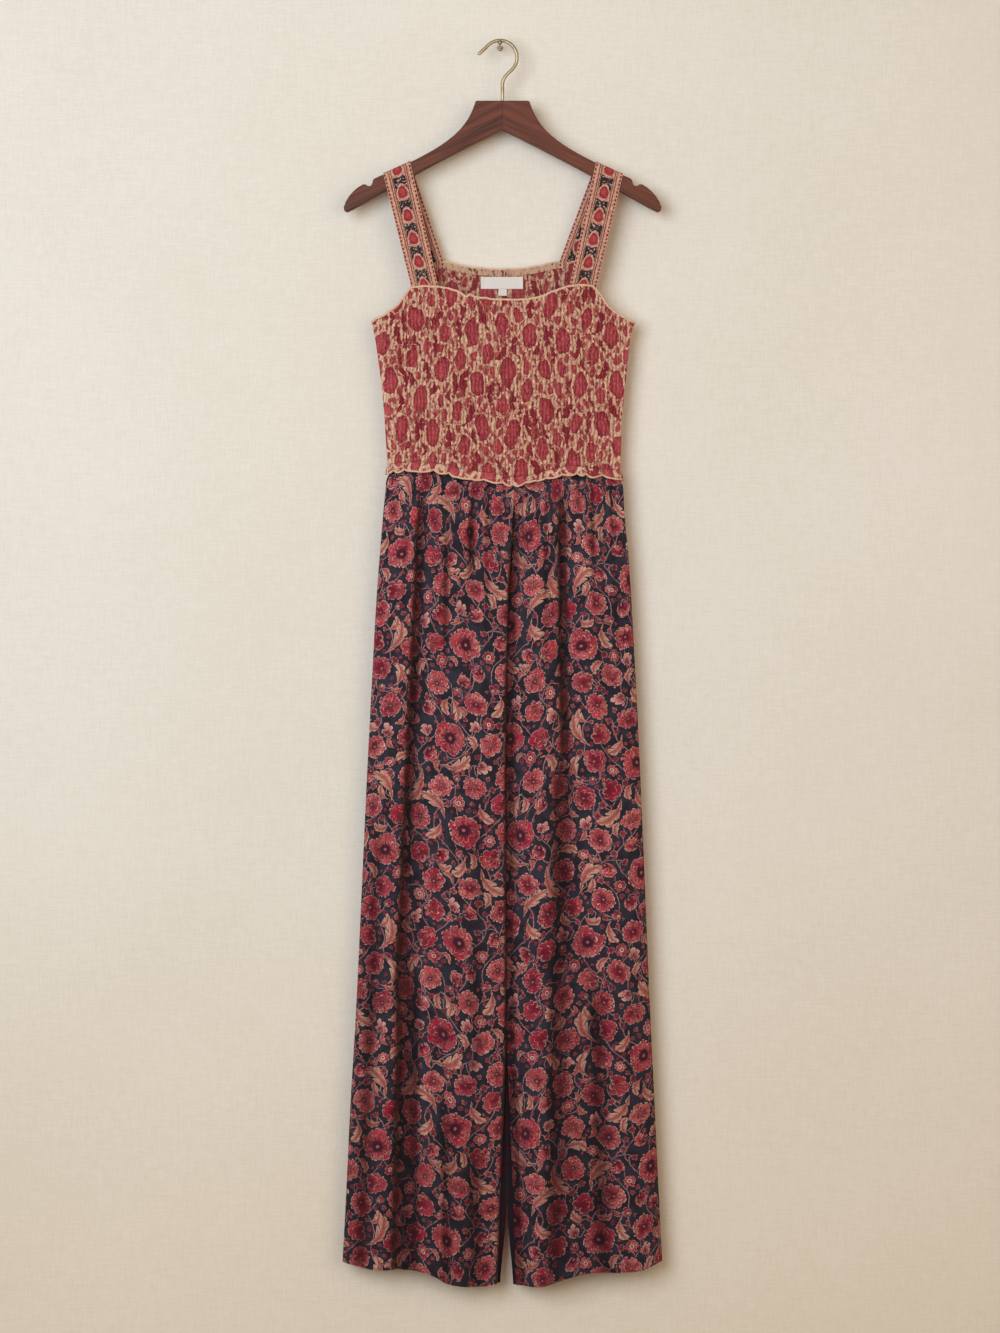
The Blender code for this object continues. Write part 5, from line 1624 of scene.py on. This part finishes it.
# How strongly each mark of the print shows, by the names that the steps use; valley is the colour
# of the painted shade in the relief's low parts.
TROUSER_STRENGTHS = {
    "few_notched": -0.58, "mottling": 0.3, "parting_strength": 0.5, "tip_strength": 0.95,
    "inner_strength": 0.75, "ring_strength": 0.8, "streak_strength": 0.3,
    "own_strength": 0.2, "halo_strength": 0.6,
    "cloud_scale": (45, 45, 45), "cloud_low": 0.42, "cloud_high": 0.6,
    "fleck_scale": (640, 640, 640), "fleck_low": 0.8, "fleck_high": 1.2,
    "valley": (0.28, 0.19, 0.2, 1.0)}
BODICE_STRENGTHS = {
    "few_notched": -0.22, "mottling": 0.95, "parting_strength": 0.2, "tip_strength": 0.9,
    "inner_strength": 0.3, "ring_strength": 0.3, "streak_strength": 0.5,
    "own_strength": 0.2, "halo_strength": 0.75,
    "cloud_scale": (170, 170, 85), "cloud_low": 0.555, "cloud_high": 0.6,
    "fleck_scale": (620, 620, 300), "fleck_low": 0.74, "fleck_high": 1.16,
    "valley": (0.66, 0.48, 0.44, 1.0)}


def dress(piece, node):
    """The piece stands for a solid, whose node it hides, and moves with the part's one body."""
    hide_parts(node)
    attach(piece, "root")
    return piece


def trim(piece):
    """A small piece of its own that no solid stands for."""
    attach(piece, "root")
    return piece


# ---------------------------------------------------------------- operators

class JUMPSUIT_OT_hanger(bpy.types.Operator):
    """Wood on the hanger, brass on the pin, and a smooth wire hook with a rounded tip"""
    bl_idname = "jumpsuit.hanger"
    bl_label = "Make hanger"

    def execute(self, context):
        settings = context.scene.jumpsuit
        brass = aged_brass(settings.brass)
        for node, material in (("hanger_body", walnut(settings.wood)), ("wall_pin", brass)):
            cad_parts[node].material_slots[0].material = material
        path = hook_path()
        from_tip = lengths(path[::-1], 0)[::-1]
        round_tip = np.sqrt(np.clip(1 - (1 - from_tip / 2.0) ** 2, 0.06, 1))
        radius = 2.3 * np.where(from_tip < 2.0, round_tip, 1.0)
        dress(tube("brass_hook", path, radius, [brass], sides=18), "hanger_hook")
        return {"FINISHED"}


class JUMPSUIT_OT_straps(bpy.types.Operator):
    """Two border-print straps over the hanger's arms, faced with the same print"""
    bl_idname = "jumpsuit.straps"
    bl_label = "Make straps"

    def execute(self, context):
        inks = context.scene.jumpsuit.straps
        cloth = strap_cloth(inks)
        for name, *ends in STRAPS:
            outside, inside, on_cloth = strap_surface(*ends)
            strap = cloth_shell("cloth_" + name, outside, inside, on_cloth, [cloth, cloth],
                                bands=3)
            dress(strap, name)
        return {"FINISHED"}


class JUMPSUIT_OT_bodice(bpy.types.Operator):
    """Smocked bodice panels, their frilled edges and rolled edges"""
    bl_idname = "jumpsuit.bodice"
    bl_label = "Make bodice"

    def execute(self, context):
        settings = context.scene.jumpsuit
        layout = scatter(BODICE_PRINT, settings.seed + 1)
        cloth = printed_cloth("block-printed shirred cotton", settings.bodice,
                              BODICE_STRENGTHS)
        # the wrong side fades towards the darkened reverse ink: its own look, partly painted shade
        # inside the back
        reverse = printed_cloth("shirred cotton, wrong side", settings.bodice,
                                BODICE_STRENGTHS, faded=0.24)
        thread = edge_thread(settings.edge)
        for seed, panel in ((20, FRONT), (40, BACK)):
            outside, inside, on_cloth = bodice_surface(panel, settings, seed)
            bodice = cloth_shell("cloth_bodice_" + panel.name, outside, inside, on_cloth,
                                 [cloth, reverse], layout, seed, bands=1)
            dress(bodice, "bodice_" + panel.name)
            neck = trim(tube("rolled_edge_neck_" + panel.name, neck_path(panel, 560, seed),
                             1.6, [thread], sides=8))
            if panel is BACK:
                self.neck_band(panel, cloth, settings)

            outside, inside, on_cloth = frill_surface(panel, settings, seed + 5)
            frill = cloth_shell("cloth_frill_" + panel.name, outside, inside, on_cloth,
                                [cloth, reverse], layout, seed, bands=6)
            dress(frill, "frill_" + panel.name)
            path = outside[-1] - [0.0, panel.facing * 0.4, 0.3]
            edge = trim(tube("rolled_edge_frill_" + panel.name, path, 1.25, [thread], sides=8))
        return {"FINISHED"}

    def neck_band(self, panel, cloth, settings):
        """The turned-in hem inside the back neckline: a strip 8 mm deep on the inner face,
        between the two straps."""
        x = np.linspace(-108.0, 112.0, 161)
        fall = np.linspace(0, 1, 9)[:, None]
        z = follow(panel.top, x) - 0.4 - 8.0 * fall + 0.25 * soft_noise(x, fall * 4, 7.0, 3)
        x = np.broadcast_to(x, z.shape)
        inner = bodice_inside(x, z, panel)
        ripple = 0.25 + 0.2 * soft_noise(x, z * 0.3, 3.2, 11)
        outside = np.stack([x, inner - 0.75 - ripple, z], axis=-1)
        inside = np.stack([x, inner - 0.15, z], axis=-1)
        # the ripple is also the relief value for the painted shade and faint painted highlight of
        # the tan hem
        on_cloth = np.stack([settings.gather * x, z, 0.7 + ripple], axis=-1)
        made = cloth_shell("neck_hem_back", outside, inside[::2, ::2], on_cloth,
                           [tan_cloth(settings.bodice), cloth], bands=2)
        return trim(made)


class JUMPSUIT_OT_trousers(bpy.types.Operator):
    """Four printed trouser panels with their folds"""
    bl_idname = "jumpsuit.trousers"
    bl_label = "Make trousers"

    def execute(self, context):
        settings = context.scene.jumpsuit
        layout = scatter(TROUSER_PRINT, settings.seed)
        cloth = printed_cloth("block-printed navy cotton", settings.trousers,
                              TROUSER_STRENGTHS)
        reverse = plain_reverse("navy cotton, wrong side", settings.trousers.reverse,
                                settings.trousers.bloom_deep)
        for panel in (FRONT, BACK):
            for side, hand in ((1, "left"), (-1, "right")):
                outside, inside, on_cloth = trouser_surface(side, panel, settings)
                name = panel.name + "_" + hand
                shift = np.array((31.0 * side, 57.0 * side + 90.0 * panel.facing, 0.0))
                trouser = cloth_shell("cloth_trouser_" + name, outside, inside,
                                      on_cloth + shift, [cloth, reverse], layout, 60)
                dress(trouser, "trouser_" + name)
        return {"FINISHED"}


class JUMPSUIT_OT_labels(bpy.types.Operator):
    """Bare woven label and size tab inside the back neckline"""
    bl_idname = "jumpsuit.labels"
    bl_label = "Make labels"

    def execute(self, context):
        settings = context.scene.jumpsuit
        material = satin(settings.satin)
        for name, x_from, x_to, z_top, z_bottom in TABS:
            x, z = np.meshgrid(np.linspace(x_from, x_to, 33), np.linspace(z_top, z_bottom, 17))
            near = bodice_inside(x, z, BACK) - SEAM_GAP
            # the two folded ends are a little thicker than the middle
            out = np.minimum(x - x_from, x_to - x)
            thick = 0.5 + 0.2 * smoothstep(2.6, 1.8, out) + 0.06 * soft_noise(x, z, 6.0, 2)
            outside = np.stack([x, near - thick, z], axis=-1)
            inside = np.stack([x, near, z], axis=-1)
            on_cloth = np.stack([x, z, np.ones_like(x)], axis=-1)
            tab = cloth_shell("satin_" + name, outside, inside[::4, ::4], on_cloth,
                              [material, material], bands=1)
            dress(tab, name)
        return {"FINISHED"}


class JUMPSUIT_OT_stage(bpy.types.Operator):
    """Pale wall and floor, soft daylight from the upper left, and the camera"""
    bl_idname = "jumpsuit.stage"
    bl_label = "Make stage"

    def execute(self, context):
        settings = context.scene.jumpsuit
        self.backdrop(settings)
        self.light("key", (-1.3, -2.85, -0.05), (0.1, 0.0, -0.3), 2.3, 87.0, "#E6F2FF")
        self.light("fill", (1.6, -3.1, -0.4), (0.3, 0.0, -0.4), 2.8, 33.0, "#FFEAD4")
        self.light("rear fill", (0.9, 2.6, 0.3), (0.0, 0.0, -0.8), 1.6, 30.0, "#FFF8F0")
        self.world()
        camera = bpy.data.cameras.new("camera")
        camera.lens, camera.sensor_width = 72.7, 36.0
        stand = bpy.data.objects.new("camera", camera)
        stand.location = (0.0, -3.5, -0.8119)
        stand.rotation_euler = (np.pi / 2, 0.0, 0.0)
        context.scene.collection.objects.link(stand)
        context.scene.camera = stand
        context.scene.view_settings.view_transform = "Standard"
        return {"FINISHED"}

    def backdrop(self, settings):
        """One sheet: a floor, a quarter turn of 60 mm radius and the wall behind the pin."""
        wall_y, floor_z, radius = 28.2, -1830.0, 60.0
        turn = np.linspace(0, np.pi / 2, 13)
        y = np.concatenate([[-4200.0], wall_y - radius + radius * np.sin(turn), [wall_y]])
        z = np.concatenate([[floor_z], floor_z + radius - radius * np.cos(turn), [1300.0]])
        x = np.linspace(-3200.0, 3200.0, 5)
        points = np.stack([np.broadcast_to(x, (len(y), 5)), np.repeat(y[:, None], 5, axis=1),
                           np.repeat(z[:, None], 5, axis=1)], axis=-1)
        quads, _ = grid_quads(0, len(y), 5)
        made = build_mesh("backdrop", points.reshape(-1, 3), quads,
                          np.empty((0, 3), int), [self.plaster(settings)])

    def plaster(self, settings):
        """Brushed plaster with a canvas-like tooth, darker and warmer towards the floor as
        painted shade. It lets light from behind through, so the garment's back isn't left in the
        dark, and it isn't seen from behind."""
        made, tree, shader, known = new_material("brushed plaster", (), Roughness=0.95,
                                                 Specular_IOR_Level=0.1)
        known["pale"] = (*settings.wall, 1.0)
        known["deep"] = (*(np.array(settings.wall) * (0.93, 0.915, 0.88)), 1.0)
        known["painted_shade_tint"] = (1.0, 0.95, 0.88, 1.0)
        work_out(tree, (
            ("level", "mapped", "place", (0, 0, 0), (60, 60, 620)),
            ("upright", "mapped", "place", (0, 0, 0), (620, 60, 60)),
            ("weft", "noise", "level", 1.0, 3.0, 0.6),
            ("warp", "noise", "upright", 1.0, 3.0, 0.6),
            ("cloud", "noise", "place", 2.2, 3.0, 0.5),
            ("tooth", "+", "weft", "warp"),
            ("tooth_cloud", "*+", "cloud", 0.8, "tooth"),
            ("toned", "ease", "tooth_cloud", 1.1, 1.75, 0.0, 1.0),
            ("brushed", "blend", "toned", "pale", "deep"),
            # painted shade: the wall darkens and warms towards the floor
            ("height", "z", "place"),
            ("painted_low_shade", "ease", "height", -0.8, -1.75, 0.0, 1.0),
            ("colour", "dim", "painted_low_shade", "brushed", "painted_shade_tint"),
            ("bumped", "bump", 0.3, 0.0006, "tooth"),
        ), known)
        finish_material(tree, shader, known, Base_Color="colour", Normal="bumped")
        rays = add(tree, "LightPath", {})
        back = add(tree, "NewGeometry", {}).outputs["Backfacing"]
        unseen = add(tree, "Math", {0: rays.outputs["Is Shadow Ray"],
                                    1: rays.outputs["Is Diffuse Ray"]}, operation="MAXIMUM")
        either = add(tree, "Math", {0: unseen.outputs[0], 1: back}, operation="MAXIMUM")
        clear = add(tree, "BsdfTransparent", {})
        mixed = add(tree, "MixShader", {0: either.outputs[0], 1: shader.outputs[0],
                                        2: clear.outputs[0]})
        tree.links.new(mixed.outputs[0], tree.nodes["Material Output"].inputs["Surface"])
        return made

    def light(self, name, place, aim, size, power, code):
        lamp = bpy.data.lights.new(name, "AREA")
        lamp.shape, lamp.size, lamp.energy, lamp.color = "DISK", size, power, linear(code)
        made = bpy.data.objects.new(name, lamp)
        made.location = place
        way = np.array(aim) - place
        flat = np.hypot(way[0], way[1])
        made.rotation_euler = (np.arctan2(flat, -way[2]), 0.0, np.arctan2(-way[0], way[1]))
        bpy.context.scene.collection.objects.link(made)

    def world(self):
        """Warm white all round, dimmer from below."""
        world = bpy.data.worlds.new("room")
        world.use_nodes = True
        tree = world.node_tree
        way = add(tree, "TexCoord", {}).outputs["Generated"]
        known = {"way": way, "low": (*linear("#A8845C"), 1.0), "high": (*linear("#FFE4C4"), 1.0)}
        work_out(tree, (("up", "z", "way"), ("share", "ease", "up", -0.9, 0.5, 0.0, 1.0),
                        ("colour", "blend", "share", "low", "high")), known)
        shine = tree.nodes["Background"]
        shine.inputs["Strength"].default_value = 0.34
        tree.links.new(known["colour"], shine.inputs["Color"])
        bpy.context.scene.world = world


class JUMPSUIT_PT_panel(bpy.types.Panel):
    """Lists the operators and the main settings"""
    bl_label = "Jumpsuit"
    bl_idname = "JUMPSUIT_PT_panel"
    bl_space_type = "VIEW_3D"
    bl_region_type = "UI"
    bl_category = "Jumpsuit"

    def draw(self, context):
        settings = context.scene.jumpsuit
        for name in ("pucker_width", "pucker_height", "gather", "fold_depth", "seed", "edge",
                     "satin", "wall"):
            self.layout.prop(settings, name)
        for operator in OPERATORS:
            self.layout.operator(operator.bl_idname)


GROUPS = (TrouserInks, BodiceInks, StrapInks, WoodStain, BrassTones, JumpsuitSettings)
OPERATORS = (JUMPSUIT_OT_hanger, JUMPSUIT_OT_straps, JUMPSUIT_OT_bodice,
             JUMPSUIT_OT_trousers, JUMPSUIT_OT_labels, JUMPSUIT_OT_stage)


def register():
    for made in GROUPS + OPERATORS + (JUMPSUIT_PT_panel,):
        bpy.utils.register_class(made)
    bpy.types.Scene.jumpsuit = PointerProperty(type=JumpsuitSettings)


def unregister():
    del bpy.types.Scene.jumpsuit
    for made in reversed(GROUPS + OPERATORS + (JUMPSUIT_PT_panel,)):
        bpy.utils.unregister_class(made)


def main():
    register()
    bpy.ops.jumpsuit.hanger()
    bpy.ops.jumpsuit.straps()
    bpy.ops.jumpsuit.bodice()
    bpy.ops.jumpsuit.trousers()
    bpy.ops.jumpsuit.labels()
    bpy.ops.jumpsuit.stage()
    bpy.context.view_layer.update()


if __name__ == "__main__":
    main()
